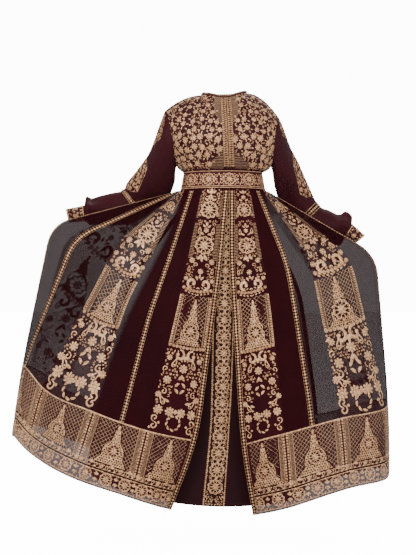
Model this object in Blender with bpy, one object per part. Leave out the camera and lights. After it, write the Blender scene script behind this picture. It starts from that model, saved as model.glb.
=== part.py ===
"""A worn kaftan: bodice, belt, wide sleeves, an open flared overskirt held out at both
sides, and an inner skirt.

Units are metres, +Z is up and the front faces -Y. Left and right are the wearer's, so
left is +X. The origin is the middle of the neck opening, level with the shoulder line.
Every piece of cloth is a wall whose outer face follows a surface worked out from the
tables below.
"""

import math
from collections import namedtuple

import bmesh
import bpy
import numpy as np

# Cloth and seams
CLOTH = 0.0015
TRIM = 0.0011
SEAM_GAP = 0.0003
ARMHOLE_GAP = 0.0012

# Belt and waist. The right side reaches a little further than the left.
BELT_TOP = -0.2580
BELT_BOTTOM = -0.3170
BELT_WALL = 0.0025
BELT_TOP_REACH = {"right": 0.1365, "left": 0.1295, "depth": 0.1040}
BELT_BOTTOM_REACH = {"right": 0.1465, "left": 0.1395, "depth": 0.1120}
BELT_COLUMNS = 32
PIPING_WIDTH = 0.0050
PIPING_THICKNESS = 0.0020

# Neck and shoulders
NECK_HALF_WIDTH = 0.078
NECK_FRONT_HEIGHT = -0.011
NECK_SEAM_PEAK = 0.030
NECK_SHARE = {"front": 0.873, "back": 0.65}
NECK_BINDING_HEIGHT = 0.0065
NECK_BINDING_LEAN = 0.0015
NECK_COLUMNS = 24
SHOULDER_BEND = 1.9
SHOULDER_ROLL = 0.080
SHOULDER = {
    "right": {"neck": 0.006, "tip_reach": 0.201, "tip_height": -0.048},
    "left": {"neck": 0.013, "tip_reach": 0.184, "tip_height": -0.068},
}

# Bodice
BODICE_BOTTOM = BELT_TOP + SEAM_GAP
UNDERARM_LEVEL = 0.11
ARMHOLE_FULLNESS = 0.16
OPENING_AT_NECK = 0.005
OPENING_AT_BELT = 0.0164
BODICE_COLUMNS = 6
PLACKET_WIDTH = 0.017
PLACKET_START = 0.04
PLACKET_END_GAP = 0.0026

Level = namedtuple("Level", "height right left front back")
BODICE_LEVELS = (
    Level(height=-0.2577, right=0.1365, left=0.1295, front=0.104, back=0.104),
    Level(height=-0.2480, right=0.1500, left=0.1500, front=0.118, back=0.112),
    Level(height=-0.2350, right=0.1610, left=0.1600, front=0.127, back=0.116),
    Level(height=-0.2100, right=0.1660, left=0.1645, front=0.138, back=0.120),
    Level(height=-0.1700, right=0.1700, left=0.1680, front=0.147, back=0.126),
    Level(height=-0.1130, right=0.1800, left=0.1745, front=0.138, back=0.128),
    Level(height=-0.0680, right=0.1930, left=0.1840, front=0.118, back=0.114),
    Level(height=-0.0480, right=0.2010, left=0.1840, front=0.106, back=0.104),
    Level(height=0.0400, right=0.2010, left=0.1840, front=0.085, back=0.090),
)

# Sleeves, by the two edges of their outline seen from the front, how far back the
# middle lies and half of the depth from front to back
Ring = namedtuple("Ring", "outer_x outer_z inner_x inner_z middle_y half_depth")
SLEEVE_RINGS = {
    "right": (
        Ring(-0.222, -0.107, -0.1655, -0.254, 0.000, 0.068),
        Ring(-0.254, -0.186, -0.1700, -0.289, 0.035, 0.067),
        Ring(-0.293, -0.242, -0.2000, -0.343, 0.078, 0.062),
        Ring(-0.332, -0.282, -0.2420, -0.379, 0.105, 0.058),
        Ring(-0.351, -0.310, -0.2770, -0.404, 0.118, 0.055),
        Ring(-0.392, -0.320, -0.3260, -0.428, 0.112, 0.052),
        Ring(-0.432, -0.333, -0.3870, -0.435, 0.096, 0.048),
        Ring(-0.455, -0.344, -0.4310, -0.434, 0.082, 0.046),
        Ring(-0.473, -0.340, -0.4610, -0.435, 0.068, 0.043),
        Ring(-0.481, -0.366, -0.4740, -0.421, 0.058, 0.028),
        Ring(-0.541, -0.379, -0.5310, -0.424, 0.040, 0.025),
    ),
    "left": (
        Ring(0.199, -0.100, 0.1645, -0.254, 0.000, 0.068),
        Ring(0.226, -0.165, 0.1740, -0.300, 0.035, 0.067),
        Ring(0.260, -0.229, 0.1960, -0.355, 0.078, 0.062),
        Ring(0.290, -0.286, 0.2220, -0.395, 0.105, 0.058),
        Ring(0.330, -0.360, 0.2540, -0.431, 0.118, 0.055),
        Ring(0.370, -0.381, 0.3070, -0.470, 0.112, 0.052),
        Ring(0.400, -0.397, 0.3620, -0.494, 0.096, 0.048),
        Ring(0.421, -0.389, 0.3950, -0.506, 0.082, 0.046),
        Ring(0.440, -0.406, 0.4040, -0.500, 0.068, 0.043),
        Ring(0.441, -0.429, 0.4140, -0.471, 0.058, 0.028),
        Ring(0.484, -0.470, 0.4530, -0.496, 0.040, 0.025),
    ),
}
ELBOW = 5
CUFF_SEAM = 10
HAND_END = 11
SLEEVE_COLUMNS = 20
UPPER_SLEEVE_ROWS = (0.0, 0.5, 1.0, 2.0, 3.0, 4.0, 4.8, 5.0)
LOWER_SLEEVE_ROWS = (5.0, 5.2, 6.0, 7.0, 8.0, 9.0, 9.6, 10.0)
ELBOW_BAND_ROWS = (4.8, 5.0, 5.2)
GATHERS = 5
GATHER_DEPTH = 0.004

# Overskirt. A guide is a line from the waist to the hem. Its place counts gores from
# the right front edge round by the back to the left front edge, and its angle at the
# waist is from the front towards the wearer's right.
Guide = namedtuple("Guide", "place angle knee border hem")
OVERSKIRT_GUIDES = (
    Guide(0.0, -6.5, (-0.008, -0.150, -0.563), (-0.087, -0.240, -1.140), (-0.174, -0.225, -1.365)),
    Guide(1.0, 30.5, (-0.149, -0.200, -0.687), (-0.249, -0.280, -1.103), (-0.299, -0.300, -1.315)),
    Guide(2.0, 61.0, (-0.324, -0.155, -0.708), (-0.422, -0.235, -1.047), (-0.489, -0.260, -1.257)),
    Guide(3.0, 80.0, (-0.355, -0.080, -0.489), (-0.603, -0.140, -0.978), (-0.650, -0.160, -1.181)),
    Guide(3.5, 89.0, (-0.500, -0.060, -0.482), (-0.670, -0.085, -0.909), (-0.704, -0.085, -1.143)),
    Guide(3.75, 96.0, (-0.583, -0.040, -0.432), (-0.687, -0.010, -0.914), (-0.721, 0.010, -1.154)),
    Guide(4.0, 105.0, (-0.536, -0.015, -0.470), (-0.678, 0.090, -0.921), (-0.690, 0.100, -1.137)),
    Guide(5.0, 127.0, (-0.393, 0.070, -0.560), (-0.559, 0.200, -1.021), (-0.562, 0.230, -1.188)),
    Guide(6.0, 148.0, (-0.258, 0.150, -0.693), (-0.379, 0.270, -1.055), (-0.395, 0.300, -1.247)),
    Guide(7.0, 169.0, (-0.118, 0.180, -0.729), (-0.163, 0.290, -1.075), (-0.171, 0.330, -1.280)),
    Guide(8.0, 191.0, (0.059, 0.180, -0.729), (0.054, 0.290, -1.086), (0.055, 0.330, -1.302)),
    Guide(9.0, 212.0, (0.199, 0.150, -0.693), (0.249, 0.280, -1.100), (0.273, 0.310, -1.364)),
    Guide(10.0, 233.0, (0.327, 0.090, -0.630), (0.421, 0.200, -1.077), (0.436, 0.240, -1.321)),
    Guide(11.0, 255.0, (0.437, 0.005, -0.561), (0.521, 0.090, -1.039), (0.538, 0.110, -1.278)),
    Guide(11.5, 268.0, (0.511, -0.040, -0.537), (0.555, -0.010, -1.030), (0.559, 0.010, -1.263)),
    Guide(12.0, 279.0, (0.420, -0.080, -0.542), (0.538, -0.120, -1.046), (0.539, -0.140, -1.274)),
    Guide(13.0, 295.5, (0.279, -0.135, -0.550), (0.377, -0.240, -1.066), (0.393, -0.270, -1.291)),
    Guide(14.0, 322.5, (0.147, -0.200, -0.687), (0.191, -0.280, -1.110), (0.209, -0.300, -1.344)),
    Guide(15.0, 353.1, (0.016, -0.150, -0.563), (0.052, -0.240, -1.153), (0.091, -0.235, -1.381)),
)
OVERSKIRT_TOP = BELT_BOTTOM - 2 * SEAM_GAP
GORES = 15
BORDER_LEVEL = 0.78
KNEE_ROUNDING = 0.06
BORDER_ROUNDING = 0.10
TRIM_LEVEL = 0.007
GORE_ROWS = 10
BORDER_ROWS = 4
GORE_TRIM_WIDTH = 0.015
FRONT_TRIM_WIDTH = 0.017
BORDER_CUTS = (0.0, 4.0, 7.5, 11.0, 15.0)

# Folds of the overskirt: where they run, how wide they are in gores, how far they
# stand out, and the level where they start
Fold = namedtuple("Fold", "place width depth start")
OVERSKIRT_FOLDS = (
    Fold(place=0.55, width=0.45, depth=0.010, start=0.30),
    Fold(place=1.45, width=0.40, depth=-0.014, start=0.20),
    Fold(place=2.30, width=0.35, depth=0.012, start=0.35),
    Fold(place=5.50, width=0.40, depth=-0.030, start=0.25),
    Fold(place=6.50, width=0.45, depth=0.026, start=0.20),
    Fold(place=7.50, width=0.40, depth=-0.034, start=0.15),
    Fold(place=8.50, width=0.45, depth=0.028, start=0.20),
    Fold(place=9.60, width=0.40, depth=-0.030, start=0.25),
    Fold(place=10.40, width=0.35, depth=0.020, start=0.35),
    Fold(place=12.60, width=0.35, depth=-0.010, start=0.30),
    Fold(place=13.45, width=0.40, depth=-0.014, start=0.25),
    Fold(place=14.40, width=0.45, depth=0.010, start=0.35),
)

# Inner skirt, by level: height at the front, right, left and back, reach to the
# right and left, depth at the front and back, and the middle of the front panel
Hoop = namedtuple("Hoop", "front_z right_z left_z back_z right left front back panel_x")
INNER_HOOPS = (
    Hoop(-0.290, -0.290, -0.290, -0.290, 0.1383, 0.1313, 0.1045, 0.1045, 0.010),
    Hoop(-0.330, -0.330, -0.330, -0.330, 0.1400, 0.1330, 0.1070, 0.1070, 0.009),
    Hoop(-0.473, -0.473, -0.473, -0.473, 0.1850, 0.1700, 0.1250, 0.1220, 0.004),
    Hoop(-0.758, -0.750, -0.758, -0.758, 0.3200, 0.2480, 0.1550, 0.1450, -0.004),
    Hoop(-1.050, -1.015, -1.045, -1.045, 0.4150, 0.2720, 0.1780, 0.1680, -0.014),
    Hoop(-1.360, -1.275, -1.347, -1.330, 0.4650, 0.2760, 0.1950, 0.1880, -0.037),
)
INNER_PANEL_WIDTH = 0.071
INNER_FRONT_SEAM = math.radians(40.0)
INNER_BACK_SEAM = math.radians(40.0)
INNER_ROWS = 9
INNER_FOLDS = 7
INNER_FOLD_DEPTH = 0.008

STEP = 1e-4

Finish = namedtuple("Finish", "red green blue roughness metallic")
CHIFFON = Finish(0.045, 0.010, 0.014, roughness=0.70, metallic=0.0)
WORKED_CLOTH = Finish(0.300, 0.160, 0.085, roughness=0.55, metallic=0.2)
GOLD_TRIM = Finish(0.520, 0.310, 0.170, roughness=0.45, metallic=0.4)
LINING = Finish(0.022, 0.006, 0.008, roughness=0.65, metallic=0.0)
PIPING = Finish(0.420, 0.260, 0.180, roughness=0.50, metallic=0.1)


def clamp(value, low, high):
    return max(low, min(high, value))


def smooth_step(value):
    t = clamp(value, 0.0, 1.0)
    return t * t * (3.0 - 2.0 * t)


def smooth_row(knots, rows, place):
    """The row at a place between the knots, on one smooth curve through all rows."""
    last = len(knots) - 1
    span = clamp(int(np.searchsorted(knots, place, side="right")) - 1, 0, last - 1)
    slopes = []
    for i in (span, span + 1):
        if i == 0:
            slopes.append((rows[1] - rows[0]) / (knots[1] - knots[0]))
        elif i == last:
            slopes.append((rows[last] - rows[last - 1]) / (knots[last] - knots[last - 1]))
        else:
            before = knots[i] - knots[i - 1]
            after = knots[i + 1] - knots[i]
            rise_before = (rows[i] - rows[i - 1]) / before
            rise_after = (rows[i + 1] - rows[i]) / after
            slopes.append((rise_before * after + rise_after * before) / (before + after))
    width = knots[span + 1] - knots[span]
    t = (place - knots[span]) / width
    return (
        (2 * t**3 - 3 * t**2 + 1) * rows[span]
        + (t**3 - 2 * t**2 + t) * width * slopes[0]
        + (3 * t**2 - 2 * t**3) * rows[span + 1]
        + (t**3 - t**2) * width * slopes[1]
    )


def unit(vector):
    return vector / np.linalg.norm(vector)


def side_of(x):
    return "left" if x > 0 else "right"


def waist_point(angle, drop):
    """A point of the belt's outer face: drop is 0 at its upper edge and 1 at its lower."""
    sideways = -math.sin(angle)
    reach = {}
    for name, top in BELT_TOP_REACH.items():
        reach[name] = top + (BELT_BOTTOM_REACH[name] - top) * drop
    x = sideways * reach[side_of(sideways)]
    y = -math.cos(angle) * reach["depth"]
    return np.array([x, y, BELT_TOP + (BELT_BOTTOM - BELT_TOP) * drop])


def corner(distance, rounding):
    """0 before a corner and the distance past it after, rounded round the corner."""
    if distance <= -rounding:
        return 0.0
    if distance >= rounding:
        return distance
    return (distance + rounding) ** 2 / (4 * rounding)


def guide_point(guide, level):
    """A point down one guide of the overskirt, straight between rounded corners."""
    waist = waist_point(math.radians(guide.angle), 1.0)
    waist[2] = OVERSKIRT_TOP
    knee, border, hem = (np.array(point) for point in (guide.knee, guide.border, guide.hem))
    upper = np.linalg.norm(knee - waist)
    lower = np.linalg.norm(border - knee)
    knee_level = BORDER_LEVEL * upper / (upper + lower)
    first = (knee - waist) / knee_level
    second = (border - knee) / (BORDER_LEVEL - knee_level)
    third = (hem - border) / (1.0 - BORDER_LEVEL)
    turn_at_knee = corner(level - knee_level, min(KNEE_ROUNDING, knee_level))
    turn_at_border = corner(level - BORDER_LEVEL, BORDER_ROUNDING)
    return waist + first * level + (second - first) * turn_at_knee + (third - second) * turn_at_border


GUIDE_PLACES = [guide.place for guide in OVERSKIRT_GUIDES]
guide_rows = {}


def plain_overskirt(place, level):
    """The overskirt before its folds."""
    level = clamp(level, 0.0, 1.0)
    if level not in guide_rows:
        guide_rows[level] = np.array([guide_point(guide, level) for guide in OVERSKIRT_GUIDES])
    return smooth_row(GUIDE_PLACES, guide_rows[level], clamp(place, 0.0, GORES))


def surface_normal(surface, across, down, facing=1.0):
    """The outward normal of a surface, from points just beside this one."""
    along = surface(across + STEP, down) - surface(across - STEP, down)
    drop = surface(across, down + STEP) - surface(across, down - STEP)
    return unit(np.cross(along, drop)) * facing


def overskirt(place, level):
    place = clamp(place, 0.0, GORES)
    level = clamp(level, 0.0, 1.0)
    point = plain_overskirt(place, level)
    lift = 0.0
    for fold in OVERSKIRT_FOLDS:
        off = (place - fold.place) / fold.width
        grown = smooth_step((level - fold.start) / (1.0 - fold.start))
        lift += fold.depth * grown * math.exp(-off * off)
    if abs(lift) < 1e-6:
        return point
    return point + surface_normal(plain_overskirt, place, level) * lift


def overskirt_normal(place, level):
    return surface_normal(overskirt, place, level)


def gore_reach(place, level, width):
    """How many gores a width takes up at this place and level."""
    step = 0.01
    low = clamp(place - step, 0.0, GORES)
    high = clamp(place + step, 0.0, GORES)
    per_gore = np.linalg.norm(plain_overskirt(high, level) - plain_overskirt(low, level))
    return width * (high - low) / per_gore


def inner_hoop(level):
    knots = np.linspace(0.0, 1.0, len(INNER_HOOPS))
    return Hoop(*smooth_row(knots, np.array(INNER_HOOPS), clamp(level, 0.0, 1.0)))


def inner_skirt(angle, level):
    """A point of the inner skirt, its angle from the front towards the right."""
    hoop = inner_hoop(level)
    sideways = math.sin(angle)
    ahead = math.cos(angle)
    reach = hoop.right if sideways > 0 else hoop.left
    depth = hoop.front if ahead > 0 else hoop.back
    end_z = hoop.front_z if ahead > 0 else hoop.back_z
    side_z = hoop.right_z if sideways > 0 else hoop.left_z
    wave = math.cos(INNER_FOLDS * angle) * math.sin(angle / 2.0) ** 2
    swell = 1.0 + INNER_FOLD_DEPTH * smooth_step(level) * wave / depth
    z = side_z + (end_z - side_z) * ahead * ahead
    return np.array([-reach * sideways * swell, -depth * ahead * swell, z])


def inner_angle(x, level):
    hoop = inner_hoop(level)
    return math.asin(-x / (hoop.left if x > 0 else hoop.right))


def bodice_level(height):
    heights = [level.height for level in BODICE_LEVELS]
    rows = np.array(BODICE_LEVELS)
    return Level(*smooth_row(heights, rows, clamp(height, heights[0], heights[-1])))


def shoulder_line(x):
    """Height of the shoulder seam, and of its run inside the neck opening."""
    shoulder = SHOULDER[side_of(x)]
    reach = abs(x)
    if reach < NECK_HALF_WIDTH:
        return NECK_SEAM_PEAK + (shoulder["neck"] - NECK_SEAM_PEAK) * (x / NECK_HALF_WIDTH) ** 2
    run = (reach - NECK_HALF_WIDTH) / (shoulder["tip_reach"] - NECK_HALF_WIDTH)
    return shoulder["neck"] + (shoulder["tip_height"] - shoulder["neck"]) * run**SHOULDER_BEND


def bodice_top(x, face):
    """Height of the upper edge of the front or back: neckline, then shoulder seam."""
    height = shoulder_line(x)
    if abs(x) >= NECK_HALF_WIDTH:
        return height
    ahead = NECK_SHARE[face] ** 2 * (1.0 - (x / NECK_HALF_WIDTH) ** 2)
    return height - SHOULDER_ROLL * (1.0 - math.sqrt(1.0 - ahead))


def bodice_depth(x, z, face):
    """How far the front or back lies from the plane of the shoulder seams."""
    level = bodice_level(z)
    side = side_of(x)
    tip = SHOULDER[side]["tip_height"]
    underarm = BODICE_BOTTOM + (tip - BODICE_BOTTOM) * UNDERARM_LEVEL
    up_armhole = clamp((z - underarm) / (tip - underarm), 0.0, 1.0)
    fullness = 1.0 + ARMHOLE_FULLNESS * math.sin(math.pi * min(up_armhole, 0.5)) ** 0.8
    width = (level.left if side == "left" else level.right) * fullness
    across = clamp(abs(x) / width, 0.0, 1.0)
    below = clamp((shoulder_line(x) - z) / SHOULDER_ROLL, 0.0, 1.0)
    roll = math.sqrt(1.0 - (1.0 - below) ** 2)
    depth = level.front if face == "front" else level.back
    return depth * math.sqrt(1.0 - across * across) * roll


def opening_x(z):
    """The centre-front line leans a little to the left on its way down."""
    fall = clamp((NECK_FRONT_HEIGHT - z) / (NECK_FRONT_HEIGHT - BELT_TOP), 0.0, 1.0)
    return OPENING_AT_NECK + (OPENING_AT_BELT - OPENING_AT_NECK) * fall


def bodice(face):
    """The surface of the front or back. Its angle is -90 degrees at the right edge."""

    def point(angle, level):
        level = clamp(level, 0.0, 1.0)
        sideways = math.sin(clamp(angle, -math.pi / 2, math.pi / 2))
        side = side_of(sideways)
        tip = SHOULDER[side]
        edge = bodice_level(BODICE_BOTTOM + (tip["tip_height"] - BODICE_BOTTOM) * level)
        x = sideways * (edge.left if side == "left" else edge.right)
        top = bodice_top(sideways * tip["tip_reach"], face)
        z = BODICE_BOTTOM + (top - BODICE_BOTTOM) * level
        depth = bodice_depth(x, z, face)
        return np.array([x, -depth if face == "front" else depth, z])

    return point


BODICE_SURFACES = {"front": bodice("front"), "back": bodice("back")}
FACING = {"front": 1.0, "back": -1.0}


def shoulder_normal(x):
    slope = (shoulder_line(x + STEP) - shoulder_line(x - STEP)) / (2 * STEP)
    return unit(np.array([-slope, 0.0, 1.0]))


def armhole_level(turn):
    """The bodice level that the armhole reaches at a turn of the sleeve."""
    rise = (1.0 + math.cos(2 * math.pi * turn)) / 2.0
    return UNDERARM_LEVEL + (1.0 - UNDERARM_LEVEL) * rise


def armhole(side, turn):
    """The armhole seam: turn is 0 at the shoulder tip, 0.25 in front, 0.5 below."""
    level = armhole_level(turn)
    face = "front" if turn % 1.0 <= 0.5 else "back"
    edge = math.pi / 2 if side == "left" else -math.pi / 2
    return BODICE_SURFACES[face](edge, level)


def bodice_face_normal(face, angle, level):
    """The normal of the front or back, kept just off the edges of the surface."""
    inside = math.pi / 2 - 2 * STEP
    level = clamp(level, 2 * STEP, 1.0 - 2 * STEP)
    angle = clamp(angle, -inside, inside)
    return surface_normal(BODICE_SURFACES[face], angle, level, FACING[face])


def armhole_normal(side, turn):
    """Both walls at the armhole share this direction, so that they meet in a mitre."""
    face = "front" if turn % 1.0 <= 0.5 else "back"
    edge = math.pi / 2 if side == "left" else -math.pi / 2
    of_bodice = bodice_face_normal(face, edge, armhole_level(turn))
    of_sleeve = surface_normal(SLEEVES[side], turn, 0.05, SLEEVE_FACING[side])
    return unit(of_bodice + of_sleeve)


def bodice_normal(face):
    def normal(angle, level):
        x = BODICE_SURFACES[face](angle, level)[0]
        at_edge = abs(angle) > math.pi / 2 - 1e-6
        if at_edge and level >= UNDERARM_LEVEL - 1e-6:
            rise = (level - UNDERARM_LEVEL) / (1.0 - UNDERARM_LEVEL)
            turn = math.acos(clamp(2.0 * rise - 1.0, -1.0, 1.0)) / (2 * math.pi)
            return armhole_normal(side_of(x), turn if face == "front" else 1.0 - turn)
        if level > 1.0 - 1e-6 and abs(x) >= NECK_HALF_WIDTH - 1e-6:
            return shoulder_normal(x)
        return bodice_face_normal(face, angle, level)

    return normal


def sleeve_ring(ring, turn):
    outer = np.array([ring.outer_x, ring.middle_y, ring.outer_z])
    inner = np.array([ring.inner_x, ring.middle_y, ring.inner_z])
    around = 2 * math.pi * turn
    half = (outer - inner) / 2.0
    front = np.array([0.0, -ring.half_depth, 0.0])
    return (outer + inner) / 2.0 + half * math.cos(around) + front * math.sin(around)


def sleeve(side):
    """The whole sleeve: run is 0 at the armhole, 5 at the elbow, 10 at the cuff."""
    rings = SLEEVE_RINGS[side]
    knots = list(range(HAND_END + 1))
    columns = {}

    def point(turn, run):
        if turn not in columns:
            rows = [armhole(side, turn)] + [sleeve_ring(ring, turn) for ring in rings]
            columns[turn] = np.array(rows)
        rows = columns[turn]
        run = clamp(run, 0.0, HAND_END)
        if run > CUFF_SEAM:
            return rows[CUFF_SEAM] + (rows[HAND_END] - rows[CUFF_SEAM]) * (run - CUFF_SEAM)
        plain = smooth_row(knots[: HAND_END], rows[: HAND_END], run)
        grown = smooth_step((run - ELBOW - 1.0) / 2.0) * (1.0 - smooth_step((run - 9.0) / 1.0))
        middle = (smooth_row(knots[: HAND_END], rows_of_opposite(turn), run) + plain) / 2.0
        wave = GATHER_DEPTH * grown * math.cos(2 * math.pi * GATHERS * turn)
        return plain + unit(plain - middle) * wave

    def rows_of_opposite(turn):
        opposite = turn + 0.5
        if opposite not in columns:
            rows = [armhole(side, opposite)] + [sleeve_ring(ring, opposite) for ring in rings]
            columns[opposite] = np.array(rows)
        return columns[opposite][: HAND_END]

    return point


SLEEVES = {"right": sleeve("right"), "left": sleeve("left")}
SLEEVE_FACING = {"right": -1.0, "left": 1.0}


def sleeve_normal(side):
    def normal(turn, run):
        if run < STEP:
            return armhole_normal(side, turn)
        return surface_normal(SLEEVES[side], turn, run, SLEEVE_FACING[side])

    return normal


def cuff_normal(side):
    """Straight out from the cuff's axis, so that both ends of the cuff are square."""

    def normal(turn, run):
        return surface_normal(SLEEVES[side], turn, (CUFF_SEAM + HAND_END) / 2, SLEEVE_FACING[side])

    return normal


def belt_normal(angle, drop):
    return surface_normal(waist_point, angle, drop)


def neck_point(angle, rise):
    """The neck binding, from the neckline up. Its angle is from the front to the right."""
    x = -NECK_HALF_WIDTH * math.sin(angle)
    face = "front" if math.cos(angle) > 0 else "back"
    z = bodice_top(x, face)
    depth = bodice_depth(x, z, face)
    y = -depth if face == "front" else depth
    inward = -unit(np.array([x, y, 0.0]))
    lean = inward * NECK_BINDING_LEAN * rise
    return np.array([x, y, z + 2 * SEAM_GAP + NECK_BINDING_HEIGHT * rise]) + lean


def neck_normal(angle, rise):
    point = neck_point(angle, rise)
    return unit(np.array([point[0], point[1], 0.0]))


def grid_of(surface, normal, columns, rows):
    """Points and normals of a grid. A column is a place or a function of the row."""
    points, normals = [], []
    for row in rows:
        places = [column(row) if callable(column) else column for column in columns]
        points.append([surface(place, row) for place in places])
        normals.append([normal(place, row) for place in places])
    return np.array(points), np.array(normals)


def draw_in(points, sides, gap=SEAM_GAP):
    """Moves the named edges in by half a seam gap, to leave the gap between pieces."""
    edges = {
        "start": (points[:, 0], points[:, 1]),
        "end": (points[:, -1], points[:, -2]),
        "top": (points[0], points[1]),
        "bottom": (points[-1], points[-2]),
    }
    for side in sides:
        edge, inside = edges[side]
        run = inside - edge
        edge += run / np.linalg.norm(run, axis=1)[:, None] * gap / 2


def add_wall(name, finish, points, normals, outer, inner, closed=False):
    """One piece of cloth between its outer and inner face, as an object."""
    rows, columns = points.shape[:2]
    mesh = bmesh.new()
    faces = {}
    for side, offset in (("out", outer), ("in", inner)):
        moved = points + normals * offset
        faces[side] = [[mesh.verts.new(moved[r, c]) for c in range(columns)] for r in range(rows)]
    spans = columns if closed else columns - 1
    for side, grid in faces.items():
        for r in range(rows - 1):
            for c in range(spans):
                n = (c + 1) % columns
                mesh.faces.new((grid[r][c], grid[r][n], grid[r + 1][n], grid[r + 1][c]))
    out, back = faces["out"], faces["in"]
    for r in (0, rows - 1):
        for c in range(spans):
            n = (c + 1) % columns
            mesh.faces.new((out[r][c], back[r][c], back[r][n], out[r][n]))
    if not closed:
        for c in (0, columns - 1):
            for r in range(rows - 1):
                mesh.faces.new((out[r][c], out[r + 1][c], back[r + 1][c], back[r][c]))
    bmesh.ops.recalc_face_normals(mesh, faces=mesh.faces)
    data = bpy.data.meshes.new(name)
    mesh.to_mesh(data)
    mesh.free()
    data.shade_smooth()
    data.set_sharp_from_angle(angle=math.radians(50))
    data.materials.append(material(name, finish))
    made = bpy.data.objects.new(name, data)
    garment.objects.link(made)
    return made


def material(name, finish):
    made = bpy.data.materials.new(name)
    made.use_nodes = True
    shader = made.node_tree.nodes["Principled BSDF"]
    colour = (finish.red, finish.green, finish.blue, 1.0)
    shader.inputs["Base Color"].default_value = colour
    shader.inputs["Roughness"].default_value = finish.roughness
    shader.inputs["Metallic"].default_value = finish.metallic
    made.diffuse_color = colour
    return made


def spread(start, end, count):
    return [start + (end - start) * i / count for i in range(count + 1)]


def bodice_columns(side):
    """Columns of a front, from the opening out: the placket's edge is one of them."""
    sign = 1.0 if side == "left" else -1.0

    def edge_reach(level):
        edge_z = BODICE_BOTTOM + (SHOULDER[side]["tip_height"] - BODICE_BOTTOM) * level
        edge = bodice_level(edge_z)
        return edge.left if side == "left" else edge.right

    def at_distance(distance):
        def column(level):
            side_z = BODICE_BOTTOM + (NECK_FRONT_HEIGHT - BODICE_BOTTOM) * level
            x = opening_x(side_z) + sign * distance
            reach_side = "left" if x > 0 else "right"
            if reach_side == side:
                return math.asin(x / edge_reach(level))
            other = bodice_level(
                BODICE_BOTTOM + (SHOULDER[reach_side]["tip_height"] - BODICE_BOTTOM) * level
            )
            return math.asin(x / (other.left if x > 0 else other.right))

        return column

    placket = at_distance(PLACKET_WIDTH)
    outer = sign * math.pi / 2

    def between(share):
        return lambda level: placket(level) + (outer - placket(level)) * share

    shares = spread(0.0, 1.0, BODICE_COLUMNS)
    return [at_distance(0.0)] + [between(share) for share in shares]


def bodice_rows():
    """Rows up the bodice. Along the armhole they meet the columns of the sleeve."""
    half = SLEEVE_COLUMNS // 2
    climb = [armhole_level(i / SLEEVE_COLUMNS) for i in range(half, -1, -1)]
    return [0.0, PLACKET_START] + climb


def build_bodice():
    rows = bodice_rows()
    for side in ("right", "left"):
        columns = bodice_columns(side)
        points, normals = grid_of(BODICE_SURFACES["front"], bodice_normal("front"), columns, rows)
        trim_points = points[1:, :2].copy()
        trim_normals = normals[1:, :2].copy()
        draw_in(points, ("start", "end", "bottom"))
        add_wall(f"bodice_front_{side}", WORKED_CLOTH, points, normals, 0.0, -CLOTH)
        draw_in(trim_points, ("start", "end"))
        draw_in(trim_points, ("bottom",), PLACKET_END_GAP)
        add_wall(
            f"placket_trim_{side}",
            GOLD_TRIM,
            trim_points,
            trim_normals,
            SEAM_GAP + TRIM,
            SEAM_GAP,
        )
    columns = spread(-math.pi / 2, math.pi / 2, 2 * BODICE_COLUMNS)
    points, normals = grid_of(BODICE_SURFACES["back"], bodice_normal("back"), columns, rows)
    draw_in(points, ("start", "end", "bottom"))
    add_wall("bodice_back", WORKED_CLOTH, points, normals, 0.0, -CLOTH)


def build_neck_binding():
    columns = spread(0.0, 2 * math.pi, NECK_COLUMNS)[:-1]
    points, normals = grid_of(neck_point, neck_normal, columns, (0.0, 1.0))
    add_wall("neck_binding", CHIFFON, points, normals, 0.0, -CLOTH, closed=True)


def build_belt():
    height = BELT_TOP - BELT_BOTTOM
    strip = PIPING_WIDTH / height
    columns = spread(0.0, 2 * math.pi, BELT_COLUMNS)[:-1]
    rows = (0.0, strip, 0.5, 1.0 - 2 * strip, 1.0)
    points, normals = grid_of(waist_point, belt_normal, columns, rows)
    draw_in(points, ("top", "bottom"))
    add_wall("belt", WORKED_CLOTH, points, normals, 0.0, -BELT_WALL, closed=True)
    outer = SEAM_GAP + PIPING_THICKNESS
    add_wall(
        "belt_piping_top", PIPING, points[:2], normals[:2], outer, SEAM_GAP, closed=True
    )
    add_wall(
        "belt_piping_bottom", PIPING, points[3:], normals[3:], outer, SEAM_GAP, closed=True
    )


def build_sleeves():
    turns = spread(0.0, 1.0, SLEEVE_COLUMNS)[:-1]
    for side in ("right", "left"):
        surface = SLEEVES[side]
        normal = sleeve_normal(side)
        points, normals = grid_of(surface, normal, turns, UPPER_SLEEVE_ROWS)
        draw_in(points, ("top",), ARMHOLE_GAP)
        draw_in(points, ("bottom",))
        add_wall(f"upper_sleeve_{side}", CHIFFON, points, normals, 0.0, -CLOTH, closed=True)
        points, normals = grid_of(surface, normal, turns, LOWER_SLEEVE_ROWS)
        draw_in(points, ("top", "bottom"))
        add_wall(f"lower_sleeve_{side}", CHIFFON, points, normals, 0.0, -CLOTH, closed=True)
        points, normals = grid_of(surface, normal, turns, ELBOW_BAND_ROWS)
        add_wall(
            f"elbow_band_{side}",
            GOLD_TRIM,
            points,
            normals,
            SEAM_GAP + TRIM,
            SEAM_GAP,
            closed=True,
        )
        rows = spread(CUFF_SEAM, HAND_END, 2)
        points, normals = grid_of(surface, cuff_normal(side), turns, rows)
        draw_in(points, ("top",))
        add_wall(f"cuff_{side}", WORKED_CLOTH, points, normals, 0.0, -CLOTH, closed=True)


def plain_gore_columns(start):
    """A plain gore has its trim down the middle, and the trim's edges are columns."""
    middle = start + 0.5

    def edge(sign):
        return lambda level: middle + sign * gore_reach(middle, level, GORE_TRIM_WIDTH / 2)

    def halfway(place, sign):
        return lambda level: (place + edge(sign)(level)) / 2

    return [
        start,
        halfway(start, -1.0),
        edge(-1.0),
        edge(1.0),
        halfway(start + 1.0, 1.0),
        start + 1.0,
    ]


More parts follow.
